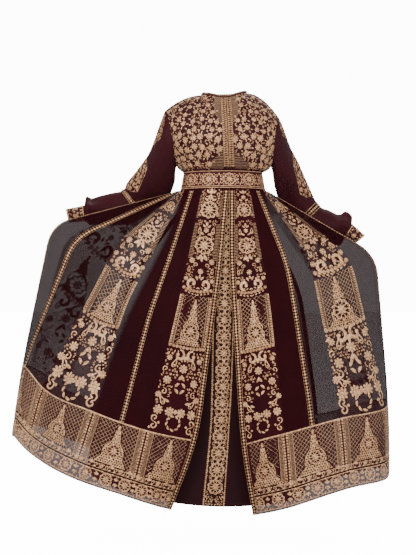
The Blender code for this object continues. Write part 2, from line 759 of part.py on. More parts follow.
def worked_gore_columns(start):
    """An embroidered gore. The first and last have the front edge's trim on them."""
    if start == 0:

        def trim(level):
            return gore_reach(0.0, level, FRONT_TRIM_WIDTH)

        return [0.0, trim, lambda level: (trim(level) + 1.0) / 2, 1.0]
    if start == GORES - 1:

        def trim(level):
            return GORES - gore_reach(float(GORES), level, FRONT_TRIM_WIDTH)

        return [start, lambda level: (trim(level) + start) / 2, trim, float(GORES)]
    return spread(start, start + 1.0, 3)


def gore_columns(start):
    return plain_gore_columns(start) if start % 2 else worked_gore_columns(start)


def gore_rows():
    """Rows down a gore. Trims start at the second, just clear of the belt's piping."""
    return [0.0, TRIM_LEVEL] + spread(0.0, BORDER_LEVEL, GORE_ROWS)[1:]


def build_gores():
    rows = gore_rows()
    lifted = SEAM_GAP + TRIM
    for start in range(GORES):
        columns = gore_columns(start)
        points, normals = grid_of(overskirt, overskirt_normal, columns, rows)
        number = start // 2 + 1
        if start % 2:
            trim_points, trim_normals = points[1:, 2:4].copy(), normals[1:, 2:4].copy()
            draw_in(trim_points, ("top", "bottom"))
            add_wall(f"gore_trim_{number}", GOLD_TRIM, trim_points, trim_normals, lifted, SEAM_GAP)
            name, finish = f"plain_gore_{number}", CHIFFON
        else:
            name, finish = f"worked_gore_{number}", WORKED_CLOTH
        draw_in(points, ("start", "end", "top", "bottom"))
        add_wall(name, finish, points, normals, 0.0, -CLOTH)


def build_front_trims():
    rows = gore_rows()[1:] + spread(BORDER_LEVEL, 1.0, BORDER_ROWS)[1:]
    for side, start, picked in (("right", 0, (0, 1)), ("left", GORES - 1, (2, 3))):
        columns = [gore_columns(start)[i] for i in picked]
        points, normals = grid_of(overskirt, overskirt_normal, columns, rows)
        draw_in(points, ("start", "end", "top", "bottom"))
        add_wall(
            f"front_edge_trim_{side}", GOLD_TRIM, points, normals, SEAM_GAP + TRIM, SEAM_GAP
        )


def build_hem_border():
    rows = spread(BORDER_LEVEL, 1.0, BORDER_ROWS)
    names = ("front_right", "back_right", "back_left", "front_left")
    for name, low, high in zip(names, BORDER_CUTS, BORDER_CUTS[1:]):
        columns = []
        for start in range(GORES):
            columns += gore_columns(start)[:-1]
        columns.append(float(GORES))
        kept = [c for c in columns if low < place_at_border(c) < high]
        points, normals = grid_of(overskirt, overskirt_normal, [low] + kept + [high], rows)
        draw_in(points, ("start", "end", "top"))
        add_wall(f"hem_border_{name}", WORKED_CLOTH, points, normals, 0.0, -CLOTH)


def place_at_border(column):
    return column(BORDER_LEVEL) if callable(column) else column


def inner_normal(angle, level):
    return surface_normal(inner_skirt, angle, level)


def build_inner_skirt():
    def panel_edge(sign):
        half = INNER_PANEL_WIDTH / 2
        return lambda level: inner_angle(inner_hoop(level).panel_x + sign * half, level)

    right_edge, left_edge = panel_edge(-1.0), panel_edge(1.0)

    def share(from_column, to_column, part):
        def column(level):
            first = from_column(level) if callable(from_column) else from_column
            last = to_column(level) if callable(to_column) else to_column
            return first + (last - first) * part

        return column

    half, whole = math.pi, 2 * math.pi
    front, back = INNER_FRONT_SEAM, INNER_BACK_SEAM
    pieces = (
        ("inner_skirt_panel", WORKED_CLOTH, left_edge, right_edge, 2),
        ("inner_skirt_front_right", LINING, right_edge, front, 3),
        ("inner_skirt_side_right", LINING, front, half - back, 6),
        ("inner_skirt_back", LINING, half - back, half + back, 6),
        ("inner_skirt_side_left", LINING, half + back, whole - front, 6),
        ("inner_skirt_front_left", LINING, whole - front, lambda v: whole + left_edge(v), 3),
    )
    rows = spread(0.0, 1.0, INNER_ROWS)
    for name, finish, first, last, count in pieces:
        columns = [share(first, last, i / count) for i in range(count + 1)]
        points, normals = grid_of(inner_skirt, inner_normal, columns, rows)
        draw_in(points, ("start", "end"))
        add_wall(name, finish, points, normals, 0.0, -CLOTH)


for old in list(bpy.data.objects):
    bpy.data.objects.remove(old)
garment = bpy.data.collections.new("kaftan")
bpy.context.scene.collection.children.link(garment)
build_bodice()
build_neck_binding()
build_belt()
build_sleeves()
build_gores()
build_front_trims()
build_hem_border()
build_inner_skirt()
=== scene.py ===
"""A worn kaftan with an open embroidered overskirt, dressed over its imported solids.

Units are metres, +Z is up and the front faces -Y. Left and right are the wearer's, so
left is +X. Every cloth is a thin shell on the surface that its solid follows, and the
embroidery is raised thread work laid on those surfaces.
"""

import math
from collections import namedtuple

import bpy
import numpy as np
from bpy.props import FloatProperty, FloatVectorProperty, PointerProperty
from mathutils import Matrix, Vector


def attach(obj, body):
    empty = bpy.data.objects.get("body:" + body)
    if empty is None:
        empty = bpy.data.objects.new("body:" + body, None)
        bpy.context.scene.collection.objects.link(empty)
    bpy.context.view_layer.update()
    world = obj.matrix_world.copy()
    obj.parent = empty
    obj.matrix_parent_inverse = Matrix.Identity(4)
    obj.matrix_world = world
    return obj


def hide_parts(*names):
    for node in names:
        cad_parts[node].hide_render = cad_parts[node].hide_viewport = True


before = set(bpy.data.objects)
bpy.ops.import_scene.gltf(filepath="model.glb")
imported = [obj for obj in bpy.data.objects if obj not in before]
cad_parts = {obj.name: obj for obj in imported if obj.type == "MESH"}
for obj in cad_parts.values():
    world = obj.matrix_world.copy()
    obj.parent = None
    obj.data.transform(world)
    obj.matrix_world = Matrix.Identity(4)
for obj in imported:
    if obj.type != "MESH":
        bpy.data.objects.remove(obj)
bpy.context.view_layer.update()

bl_info = {
    "name": "Worn kaftan",
    "version": (1, 0, 0),
    "blender": (4, 5, 0),
    "location": "View3D > Sidebar > Kaftan",
    "description": "Cloth, embroidery and studio for a kaftan held out at both sides",
    "category": "Object",
}

# Belt, neck and shoulders
BELT_TOP = -0.2580
BELT_BOTTOM = -0.3170
BELT_TOP_REACH = {"right": 0.1365, "left": 0.1295, "depth": 0.1040}
BELT_BOTTOM_REACH = {"right": 0.1465, "left": 0.1395, "depth": 0.1120}
SEAM_GAP = 0.0003
CLOTH = 0.0007
TRIM = 0.0010
TRIM_LIFT = 0.0013
NECK_HALF_WIDTH = 0.078
NECK_FRONT_HEIGHT = -0.011
NECK_SEAM_PEAK = 0.030
NECK_SHARE = {"front": 0.873, "back": 0.65}
NECK_BINDING_HEIGHT = 0.0065
NECK_BINDING_OVERLAP = 0.5
CORD_RADIUS = 0.0012
CORD_LIFT = 0.0013
CORD_SIDES = 6
CORD_STRANDS = 2
CORD_PITCH = 0.007
CORD_GROOVE = 0.16
SHOULDER_BEND = 1.9
SHOULDER_ROLL = 0.080
SHOULDER = {
    "right": {"neck": 0.006, "tip_reach": 0.201, "tip_height": -0.048},
    "left": {"neck": 0.013, "tip_reach": 0.184, "tip_height": -0.068},
}

# Bodice
BODICE_BOTTOM = BELT_TOP + SEAM_GAP
UNDERARM_LEVEL = 0.11
ARMHOLE_FULLNESS = 0.16
OPENING_AT_NECK = 0.005
OPENING_AT_BELT = 0.0164
PLACKET_WIDTH = 0.017

Level = namedtuple("Level", "height right left front back")
BODICE_LEVELS = (
    Level(height=-0.2577, right=0.1365, left=0.1295, front=0.104, back=0.104),
    Level(height=-0.2480, right=0.1500, left=0.1500, front=0.118, back=0.112),
    Level(height=-0.2350, right=0.1610, left=0.1600, front=0.127, back=0.116),
    Level(height=-0.2100, right=0.1660, left=0.1645, front=0.138, back=0.120),
    Level(height=-0.1700, right=0.1700, left=0.1680, front=0.147, back=0.126),
    Level(height=-0.1130, right=0.1800, left=0.1745, front=0.138, back=0.128),
    Level(height=-0.0680, right=0.1930, left=0.1840, front=0.118, back=0.114),
    Level(height=-0.0480, right=0.2010, left=0.1840, front=0.106, back=0.104),
    Level(height=0.0400, right=0.2010, left=0.1840, front=0.085, back=0.090),
)

# Sleeves, by the two edges of their outline seen from the front, how far back the
# middle lies and half of the depth from front to back
Ring = namedtuple("Ring", "outer_x outer_z inner_x inner_z middle_y half_depth")
SLEEVE_RINGS = {
    "right": (
        Ring(-0.222, -0.107, -0.1655, -0.254, 0.000, 0.068),
        Ring(-0.254, -0.186, -0.1700, -0.289, 0.035, 0.067),
        Ring(-0.293, -0.242, -0.2000, -0.343, 0.078, 0.062),
        Ring(-0.332, -0.282, -0.2420, -0.379, 0.105, 0.058),
        Ring(-0.351, -0.310, -0.2770, -0.404, 0.118, 0.055),
        Ring(-0.392, -0.320, -0.3260, -0.428, 0.112, 0.052),
        Ring(-0.432, -0.333, -0.3870, -0.435, 0.096, 0.048),
        Ring(-0.455, -0.344, -0.4310, -0.434, 0.082, 0.046),
        Ring(-0.473, -0.340, -0.4610, -0.435, 0.068, 0.043),
        Ring(-0.481, -0.366, -0.4740, -0.421, 0.058, 0.028),
        Ring(-0.541, -0.379, -0.5310, -0.424, 0.040, 0.025),
    ),
    "left": (
        Ring(0.199, -0.100, 0.1645, -0.254, 0.000, 0.068),
        Ring(0.226, -0.165, 0.1740, -0.300, 0.035, 0.067),
        Ring(0.260, -0.229, 0.1960, -0.355, 0.078, 0.062),
        Ring(0.290, -0.286, 0.2220, -0.395, 0.105, 0.058),
        Ring(0.330, -0.360, 0.2540, -0.431, 0.118, 0.055),
        Ring(0.370, -0.381, 0.3070, -0.470, 0.112, 0.052),
        Ring(0.400, -0.397, 0.3620, -0.494, 0.096, 0.048),
        Ring(0.421, -0.389, 0.3950, -0.506, 0.082, 0.046),
        Ring(0.440, -0.406, 0.4040, -0.500, 0.068, 0.043),
        Ring(0.441, -0.429, 0.4140, -0.471, 0.058, 0.028),
        Ring(0.484, -0.470, 0.4530, -0.496, 0.040, 0.025),
    ),
}
ELBOW = 5
CUFF_SEAM = 10
HAND_END = 11
GATHERS = 5
GATHER_DEPTH = 0.004

# Overskirt. A guide is a line from the waist to the hem. Its place counts gores from
# the right front edge round by the back to the left front edge, and its angle at the
# waist is from the front towards the wearer's right.
Guide = namedtuple("Guide", "place angle knee border hem")
OVERSKIRT_GUIDES = (
    Guide(0.0, -6.5, (-0.008, -0.150, -0.563), (-0.087, -0.240, -1.140), (-0.174, -0.225, -1.365)),
    Guide(1.0, 30.5, (-0.149, -0.200, -0.687), (-0.249, -0.280, -1.103), (-0.299, -0.300, -1.315)),
    Guide(2.0, 61.0, (-0.324, -0.155, -0.708), (-0.422, -0.235, -1.047), (-0.489, -0.260, -1.257)),
    Guide(3.0, 80.0, (-0.355, -0.080, -0.489), (-0.603, -0.140, -0.978), (-0.650, -0.160, -1.181)),
    Guide(3.5, 89.0, (-0.500, -0.060, -0.482), (-0.670, -0.085, -0.909), (-0.704, -0.085, -1.143)),
    Guide(3.75, 96.0, (-0.583, -0.040, -0.432), (-0.687, -0.010, -0.914), (-0.721, 0.010, -1.154)),
    Guide(4.0, 105.0, (-0.536, -0.015, -0.470), (-0.678, 0.090, -0.921), (-0.690, 0.100, -1.137)),
    Guide(5.0, 127.0, (-0.393, 0.070, -0.560), (-0.559, 0.200, -1.021), (-0.562, 0.230, -1.188)),
    Guide(6.0, 148.0, (-0.258, 0.150, -0.693), (-0.379, 0.270, -1.055), (-0.395, 0.300, -1.247)),
    Guide(7.0, 169.0, (-0.118, 0.180, -0.729), (-0.163, 0.290, -1.075), (-0.171, 0.330, -1.280)),
    Guide(8.0, 191.0, (0.059, 0.180, -0.729), (0.054, 0.290, -1.086), (0.055, 0.330, -1.302)),
    Guide(9.0, 212.0, (0.199, 0.150, -0.693), (0.249, 0.280, -1.100), (0.273, 0.310, -1.364)),
    Guide(10.0, 233.0, (0.327, 0.090, -0.630), (0.421, 0.200, -1.077), (0.436, 0.240, -1.321)),
    Guide(11.0, 255.0, (0.437, 0.005, -0.561), (0.521, 0.090, -1.039), (0.538, 0.110, -1.278)),
    Guide(11.5, 268.0, (0.511, -0.040, -0.537), (0.555, -0.010, -1.030), (0.559, 0.010, -1.263)),
    Guide(12.0, 279.0, (0.420, -0.080, -0.542), (0.538, -0.120, -1.046), (0.539, -0.140, -1.274)),
    Guide(13.0, 295.5, (0.279, -0.135, -0.550), (0.377, -0.240, -1.066), (0.393, -0.270, -1.291)),
    Guide(14.0, 322.5, (0.147, -0.200, -0.687), (0.191, -0.280, -1.110), (0.209, -0.300, -1.344)),
    Guide(15.0, 353.1, (0.016, -0.150, -0.563), (0.052, -0.240, -1.153), (0.091, -0.235, -1.381)),
)
OVERSKIRT_TOP = BELT_BOTTOM - 2 * SEAM_GAP
GORES = 15
PLAIN_GORES = GORES // 2
BORDER_LEVEL = 0.78
KNEE_ROUNDING = 0.06
BORDER_ROUNDING = 0.10
TRIM_LEVEL = 0.007
GORE_TRIM_WIDTH = 0.015
FRONT_TRIM_WIDTH = 0.017
BORDER_CUTS = (0.0, 4.0, 7.5, 11.0, 15.0)

# Folds of the overskirt: where they run, how wide they are in gores, how far they
# stand out, and the level where they start
Fold = namedtuple("Fold", "place width depth start")
OVERSKIRT_FOLDS = (
    Fold(place=0.55, width=0.45, depth=0.010, start=0.30),
    Fold(place=1.45, width=0.40, depth=-0.014, start=0.20),
    Fold(place=2.30, width=0.35, depth=0.012, start=0.35),
    Fold(place=5.50, width=0.40, depth=-0.030, start=0.25),
    Fold(place=6.50, width=0.45, depth=0.026, start=0.20),
    Fold(place=7.50, width=0.40, depth=-0.034, start=0.15),
    Fold(place=8.50, width=0.45, depth=0.028, start=0.20),
    Fold(place=9.60, width=0.40, depth=-0.030, start=0.25),
    Fold(place=10.40, width=0.35, depth=0.020, start=0.35),
    Fold(place=12.60, width=0.35, depth=-0.010, start=0.30),
    Fold(place=13.45, width=0.40, depth=-0.014, start=0.25),
    Fold(place=14.40, width=0.45, depth=0.010, start=0.35),
)

# Soft creases that only the cloth shells have: they run between two levels
Crease = namedtuple("Crease", "place width depth first last")
OVERSKIRT_CREASES = (
    Crease(1.20, 0.10, -0.004, 0.00, 0.45),
    Crease(1.80, 0.09, 0.003, 0.02, 0.60),
    Crease(2.85, 0.12, -0.004, 0.05, 0.80),
    Crease(3.12, 0.08, 0.004, 0.10, 0.75),
    Crease(3.32, 0.07, -0.004, 0.22, 0.80),
    Crease(3.60, 0.07, 0.003, 0.18, 0.62),
    Crease(4.40, 0.12, -0.005, 0.05, 0.62),
    Crease(5.10, 0.10, 0.004, 0.00, 0.55),
    Crease(6.05, 0.10, -0.004, 0.05, 0.70),
    Crease(7.10, 0.12, 0.005, 0.00, 0.50),
    Crease(8.05, 0.10, -0.004, 0.10, 0.66),
    Crease(9.15, 0.11, 0.005, 0.00, 0.60),
    Crease(10.05, 0.10, -0.005, 0.05, 0.72),
    Crease(11.30, 0.09, 0.004, 0.18, 0.70),
    Crease(11.72, 0.08, -0.004, 0.20, 0.82),
    Crease(12.06, 0.09, 0.003, 0.10, 0.66),
    Crease(13.25, 0.08, 0.004, 0.20, 0.80),
    Crease(13.72, 0.09, -0.004, 0.05, 0.74),
)

# Inner skirt, by level: height at the front, right, left and back, reach to the
# right and left, depth at the front and back, and the middle of the front panel
Hoop = namedtuple("Hoop", "front_z right_z left_z back_z right left front back panel_x")
INNER_HOOPS = (
    Hoop(-0.290, -0.290, -0.290, -0.290, 0.1383, 0.1313, 0.1045, 0.1045, 0.010),
    Hoop(-0.330, -0.330, -0.330, -0.330, 0.1400, 0.1330, 0.1070, 0.1070, 0.009),
    Hoop(-0.473, -0.473, -0.473, -0.473, 0.1850, 0.1700, 0.1250, 0.1220, 0.004),
    Hoop(-0.758, -0.750, -0.758, -0.758, 0.3200, 0.2480, 0.1550, 0.1450, -0.004),
    Hoop(-1.050, -1.015, -1.045, -1.045, 0.4150, 0.2720, 0.1780, 0.1680, -0.014),
    Hoop(-1.360, -1.275, -1.347, -1.330, 0.4650, 0.2760, 0.1950, 0.1880, -0.037),
)
INNER_PANEL_WIDTH = 0.071
INNER_FRONT_SEAM = math.radians(40.0)
INNER_BACK_SEAM = math.radians(40.0)
INNER_FOLDS = 7
INNER_FOLD_DEPTH = 0.008


def smooth_rows(knots, rows, places):
    """Rows at many places between the knots, on one smooth curve through all rows."""
    knots = np.asarray(knots, float)
    rows = np.asarray(rows, float)
    places = np.asarray(places, float)
    shape = [-1] + [1] * (rows.ndim - 1)
    gaps = np.diff(knots).reshape(shape)
    rises = np.diff(rows, axis=0) / gaps
    inner = (rises[:-1] * gaps[1:] + rises[1:] * gaps[:-1]) / (gaps[1:] + gaps[:-1])
    slopes = np.concatenate((rises[:1], inner, rises[-1:]))
    span = np.clip(np.searchsorted(knots, places, side="right") - 1, 0, len(knots) - 2)
    width = (knots[span + 1] - knots[span]).reshape(shape)
    t = (places - knots[span]).reshape(shape) / width
    return (
        (2 * t**3 - 3 * t**2 + 1) * rows[span]
        + (t**3 - 2 * t**2 + t) * width * slopes[span]
        + (3 * t**2 - 2 * t**3) * rows[span + 1]
        + (t**3 - t**2) * width * slopes[span + 1]
    )


def smooth_step(value):
    t = np.clip(value, 0.0, 1.0)
    return t * t * (3.0 - 2.0 * t)


def alike(*values):
    """The values as arrays of one shape."""
    return np.broadcast_arrays(*(np.asarray(value, float) for value in values))


def unit(vectors):
    return vectors / np.maximum(np.linalg.norm(vectors, axis=-1, keepdims=True), 1e-12)


class Surface:
    """A surface on a fine grid, to be read anywhere. Across and down are its two ways."""

    def __init__(self, across, down, points, facing=1.0, round_it=False, upward=False):
        self.across = across
        self.down = down
        self.points = points
        self.facing = facing
        self.round_it = round_it
        self.upward = upward
        along = np.gradient(points, axis=1)
        if round_it:
            ends = (points[:, 1] - points[:, -2]) / 2.0
            along[:, 0] = ends
            along[:, -1] = ends
        drop = np.gradient(points, axis=0)
        self.normals = unit(np.cross(along, drop)) * facing
        self.along = along / (across[1] - across[0])
        self.drop = drop / (down[1] - down[0])

    def read(self, grid, across, down):
        columns, rows = len(self.across), len(self.down)
        a = (across - self.across[0]) / (self.across[1] - self.across[0])
        if self.round_it:
            a = np.mod(a, columns - 1)
        a = np.clip(a, 0.0, columns - 1.0)
        d = np.clip((down - self.down[0]) / (self.down[1] - self.down[0]), 0.0, rows - 1.0)
        c = np.minimum(a.astype(int), columns - 2)
        r = np.minimum(d.astype(int), rows - 2)
        u = (a - c)[..., None]
        v = (d - r)[..., None]
        top = grid[r, c] * (1 - u) + grid[r, c + 1] * u
        bottom = grid[r + 1, c] * (1 - u) + grid[r + 1, c + 1] * u
        return top * (1 - v) + bottom * v

    def at(self, across, down, lift=0.0):
        across, down = alike(across, down)
        points = self.read(self.points, across, down)
        normals = unit(self.read(self.normals, across, down))
        return points + normals * np.asarray(lift)[..., None]

    def ways(self, across, down):
        """The way to the right and the way up, for someone who looks at the surface."""
        above = unit(self.read(self.drop, across, down)) * (1.0 if self.upward else -1.0)
        normal = unit(self.read(self.normals, across, down))
        return unit(np.cross(above, normal)), above

    def steps(self, across, down, right, up):
        """How far to go across and down for a small move to the right and upwards."""
        along = self.read(self.along, across, down)
        drop = self.read(self.drop, across, down)
        beside, above = self.ways(across, down)
        move = beside * right[..., None] + above * up[..., None]
        aa = np.sum(along * along, axis=-1)
        ad = np.sum(along * drop, axis=-1)
        dd = np.sum(drop * drop, axis=-1)
        ma = np.sum(move * along, axis=-1)
        md = np.sum(move * drop, axis=-1)
        whole = np.maximum(aa * dd - ad * ad, 1e-12)
        return (ma * dd - md * ad) / whole, (md * aa - ma * ad) / whole


def waist_points(angle, drop):
    """Points of the belt's outer face: drop is 0 at its upper edge and 1 at its lower."""
    sideways = -np.sin(angle)
    reach = {}
    for name, top in BELT_TOP_REACH.items():
        reach[name] = top + (BELT_BOTTOM_REACH[name] - top) * drop
    x = sideways * np.where(sideways > 0, reach["left"], reach["right"])
    y = -np.cos(angle) * reach["depth"]
    return np.stack((x, y, BELT_TOP + (BELT_BOTTOM - BELT_TOP) * drop + 0.0 * x), axis=-1)


def make_belt_surface():
    angle, drop = np.meshgrid(np.linspace(0.0, 2 * math.pi, 145), np.linspace(0.0, 1.0, 13))
    return Surface(angle[0], drop[:, 0], waist_points(angle, drop), 1.0, True)


def corner(distance, rounding):
    """0 before a corner and the distance past it after, rounded round the corner."""
    rounded = (distance + rounding) ** 2 / (4 * rounding)
    return np.where(distance <= -rounding, 0.0, np.where(distance >= rounding, distance, rounded))


def guide_line(guide, levels):
    """Points down one guide of the overskirt, straight between rounded corners."""
    waist = waist_points(np.radians(guide.angle), 1.0)
    waist[2] = OVERSKIRT_TOP
    knee, border, hem = (np.array(point) for point in (guide.knee, guide.border, guide.hem))
    upper = np.linalg.norm(knee - waist)
    lower = np.linalg.norm(border - knee)
    knee_level = BORDER_LEVEL * upper / (upper + lower)
    first = (knee - waist) / knee_level
    second = (border - knee) / (BORDER_LEVEL - knee_level)
    third = (hem - border) / (1.0 - BORDER_LEVEL)
    at_knee = corner(levels - knee_level, min(KNEE_ROUNDING, knee_level))
    at_border = corner(levels - BORDER_LEVEL, BORDER_ROUNDING)
    bend = np.outer(at_knee, second - first) + np.outer(at_border, third - second)
    return waist + np.outer(levels, first) + bend


def make_overskirt_surface():
    levels = np.linspace(0.0, 1.0, 161)
    places = np.linspace(0.0, GORES, GORES * 32 + 1)
    knots = [guide.place for guide in OVERSKIRT_GUIDES]
    lines = np.array([guide_line(guide, levels) for guide in OVERSKIRT_GUIDES])
    plain = smooth_rows(knots, lines, places).transpose(1, 0, 2)
    normals = Surface(places, levels, plain).normals
    place, level = np.meshgrid(places, levels)
    lift = np.zeros_like(place)
    for fold in OVERSKIRT_FOLDS:
        grown = smooth_step((level - fold.start) / (1.0 - fold.start))
        lift += fold.depth * grown * np.exp(-(((place - fold.place) / fold.width) ** 2))
    for crease in OVERSKIRT_CREASES:
        middle = (crease.first + crease.last) / 2.0
        half = (crease.last - crease.first) / 2.0
        there = smooth_step(1.15 - np.abs(level - middle) / half)
        wander = 0.05 * np.sin(9.0 * level + 3.0 * crease.place)
        off = (place + wander - crease.place) / crease.width
        lift += crease.depth * there * np.exp(-off * off)
    calm = smooth_step(place / 0.3) * smooth_step((GORES - place) / 0.3)
    return Surface(places, levels, plain + normals * (lift * calm)[..., None])


def make_inner_surface():
    levels = np.linspace(0.0, 1.0, 111)
    angles = np.linspace(0.0, 2 * math.pi, 241)
    hoops = smooth_rows(np.linspace(0.0, 1.0, len(INNER_HOOPS)), INNER_HOOPS, levels)
    hoop = Hoop(*(hoops[:, i][:, None] for i in range(hoops.shape[1])))
    sideways = np.sin(angles)[None, :]
    ahead = np.cos(angles)[None, :]
    reach = np.where(sideways > 0, hoop.right, hoop.left)
    depth = np.where(ahead > 0, hoop.front, hoop.back)
    end_z = np.where(ahead > 0, hoop.front_z, hoop.back_z)
    side_z = np.where(sideways > 0, hoop.right_z, hoop.left_z)
    wave = np.cos(INNER_FOLDS * angles) * np.sin(angles / 2.0) ** 2
    swell = 1.0 + INNER_FOLD_DEPTH * smooth_step(levels)[:, None] * wave[None, :] / depth
    z = side_z + (end_z - side_z) * ahead * ahead
    points = np.stack((-reach * sideways * swell, -depth * ahead * swell, z), axis=-1)
    return Surface(angles, levels, points, 1.0, True), hoop


def bodice_rows_at(heights):
    heights = np.asarray(heights, float)
    knots = [level.height for level in BODICE_LEVELS]
    flat = np.clip(heights.ravel(), knots[0], knots[-1])
    rows = smooth_rows(knots, BODICE_LEVELS, flat)
    return Level(*(rows[:, i].reshape(heights.shape) for i in range(rows.shape[1])))


def by_side(x, key):
    return np.where(x > 0, SHOULDER["left"][key], SHOULDER["right"][key])


def shoulder_line(x):
    """Height of the shoulder seam, and of its run inside the neck opening."""
    reach = np.abs(x)
    neck = by_side(x, "neck")
    inside = NECK_SEAM_PEAK + (neck - NECK_SEAM_PEAK) * (x / NECK_HALF_WIDTH) ** 2
    run = np.maximum(reach - NECK_HALF_WIDTH, 0.0) / (by_side(x, "tip_reach") - NECK_HALF_WIDTH)
    outside = neck + (by_side(x, "tip_height") - neck) * run**SHOULDER_BEND
    return np.where(reach < NECK_HALF_WIDTH, inside, outside)


def bodice_top(x, face):
    """Height of the upper edge of the front or back: neckline, then shoulder seam."""
    height = shoulder_line(x)
    inside = np.maximum(1.0 - (x / NECK_HALF_WIDTH) ** 2, 0.0)
    return height - SHOULDER_ROLL * (1.0 - np.sqrt(1.0 - NECK_SHARE[face] ** 2 * inside))


def bodice_depth(x, z, face):
    """How far the front or back lies from the plane of the shoulder seams."""
    level = bodice_rows_at(z)
    tip = by_side(x, "tip_height")
    underarm = BODICE_BOTTOM + (tip - BODICE_BOTTOM) * UNDERARM_LEVEL
    up_armhole = np.clip((z - underarm) / (tip - underarm), 0.0, 0.5)
    fullness = 1.0 + ARMHOLE_FULLNESS * np.sin(math.pi * up_armhole) ** 0.8
    across = np.clip(np.abs(x) / (np.where(x > 0, level.left, level.right) * fullness), 0.0, 1.0)
    below = np.clip((shoulder_line(x) - z) / SHOULDER_ROLL, 0.0, 1.0)
    roll = np.sqrt(1.0 - (1.0 - below) ** 2)
    depth = level.front if face == "front" else level.back
    return depth * np.sqrt(1.0 - across * across) * roll


def bodice_points(face, angle, level):
    """Points of the front or back. The angle is -90 degrees at the right edge."""
    sideways = np.sin(np.clip(angle, -math.pi / 2, math.pi / 2))
    tip = by_side(sideways, "tip_height")
    edge = bodice_rows_at(BODICE_BOTTOM + (tip - BODICE_BOTTOM) * level)
    x = sideways * np.where(sideways > 0, edge.left, edge.right)
    top = bodice_top(sideways * by_side(sideways, "tip_reach"), face)
    z = BODICE_BOTTOM + (top - BODICE_BOTTOM) * level
    depth = bodice_depth(x, z, face)
    return np.stack((x, -depth if face == "front" else depth, z), axis=-1)


def make_bodice_surface(face):
    angles = np.linspace(-math.pi / 2, math.pi / 2, 121)
    levels = np.linspace(0.0, 1.0, 97)
    angle, level = np.meshgrid(angles, levels)
    facing = 1.0 if face == "front" else -1.0
    points = bodice_points(face, angle, level)
    return Surface(angles, levels, points, facing, upward=True)


def opening_x(z):
    """The centre-front line leans a little to the left on its way down."""
    fall = np.clip((NECK_FRONT_HEIGHT - z) / (NECK_FRONT_HEIGHT - BELT_TOP), 0.0, 1.0)
    return OPENING_AT_NECK + (OPENING_AT_BELT - OPENING_AT_NECK) * fall


def front_angle(distance, level):
    """Angle on the bodice's front, this far to the left of its opening."""
    x = opening_x(BODICE_BOTTOM + (NECK_FRONT_HEIGHT - BODICE_BOTTOM) * level) + distance
    edge = bodice_rows_at(BODICE_BOTTOM + (by_side(x, "tip_height") - BODICE_BOTTOM) * level)
    return np.arcsin(x / np.where(x > 0, edge.left, edge.right))


def make_sleeve_surface(side):
    turns = np.linspace(0.0, 1.0, 97)
    runs = np.linspace(0.0, HAND_END, 133)
    rise = (1.0 + np.cos(2 * math.pi * turns)) / 2.0
    level = UNDERARM_LEVEL + (1.0 - UNDERARM_LEVEL) * rise
    edge = np.full_like(turns, math.pi / 2 if side == "left" else -math.pi / 2)
    front = bodice_points("front", edge, level)
    back = bodice_points("back", edge, level)
    rows = [np.where((turns <= 0.5)[:, None], front, back)]
    around = 2 * math.pi * turns[:, None]
    for ring in SLEEVE_RINGS[side]:
        outer = np.array([ring.outer_x, ring.middle_y, ring.outer_z])
        inner = np.array([ring.inner_x, ring.middle_y, ring.inner_z])
        ahead = np.array([0.0, -ring.half_depth, 0.0])
        half = (outer - inner) / 2.0
        rows.append((outer + inner) / 2.0 + half * np.cos(around) + ahead * np.sin(around))
    rows = np.array(rows)
    plain = smooth_rows(list(range(HAND_END)), rows[:HAND_END], np.minimum(runs, CUFF_SEAM))
    past = np.clip(runs - CUFF_SEAM, 0.0, 1.0)[:, None, None]
    plain = plain + (rows[HAND_END] - rows[CUFF_SEAM])[None] * past
    half_way = (len(turns) - 1) // 2
    opposite = np.concatenate((plain[:, half_way:-1], plain[:, : half_way + 1]), axis=1)
    outwards = unit(plain - (plain + opposite) / 2.0)
    grown = smooth_step((runs - ELBOW - 1.0) / 2.0) * (1.0 - smooth_step(runs - 9.0))
    wave = GATHER_DEPTH * np.outer(grown, np.cos(2 * math.pi * GATHERS * turns))
    fine = 0.0016 * np.outer(
        smooth_step((runs - 7.0) / 2.5) * (1.0 - smooth_step((runs - 9.7) / 0.3)),
        np.cos(2 * math.pi * 17 * turns + 1.3 * np.sin(2 * math.pi * turns)),
    )
    droop = 0.004 * np.outer(
        smooth_step(runs / 1.5) * (1.0 - smooth_step((runs - 4.2) / 0.8)),
        np.cos(2 * math.pi * 4 * turns + 0.9),
    ) * (1.0 + 0.6 * np.cos(2.1 * runs)[:, None])
    points = plain + outwards * (wave + fine + droop)[..., None]
    return Surface(turns, runs, points, -1.0 if side == "right" else 1.0, True)


def make_neck_surface():
    angles = np.linspace(0.0, 2 * math.pi, 145)
    rises = np.linspace(-NECK_BINDING_OVERLAP, 1.0, 4)
    x = -NECK_HALF_WIDTH * np.sin(angles)
    ahead = np.cos(angles) > 0
    z = np.where(ahead, bodice_top(x, "front"), bodice_top(x, "back"))
    y = np.where(ahead, -bodice_depth(x, z, "front"), bodice_depth(x, z, "back"))
    base = np.stack((x, y, z + 2 * SEAM_GAP), axis=-1)
    inward = -unit(np.stack((x, y, 0.0 * x), axis=-1))
    up = np.array([0.0, 0.0, NECK_BINDING_HEIGHT])
    rows = [base + (up + inward * 0.0015) * rise for rise in rises]
    return Surface(angles, rises, np.array(rows), -1.0, True, upward=True)


OVERSKIRT = make_overskirt_surface()
INNER, INNER_HOOP = make_inner_surface()
BELT = make_belt_surface()
BODICE = {"front": make_bodice_surface("front"), "back": make_bodice_surface("back")}
SLEEVE = {"right": make_sleeve_surface("right"), "left": make_sleeve_surface("left")}
NECK = make_neck_surface()


# How far most stitches stand out
STITCH = 0.0008
Motif = namedtuple("Motif", "points triangles")


def joined(*motifs):
    """Several motifs as one."""
    points, triangles, count = [], [], 0
    for one in motifs:
        points.append(one.points)
        triangles.append(one.triangles + count)
        count += len(one.points)
    return Motif(np.concatenate(points), np.concatenate(triangles))


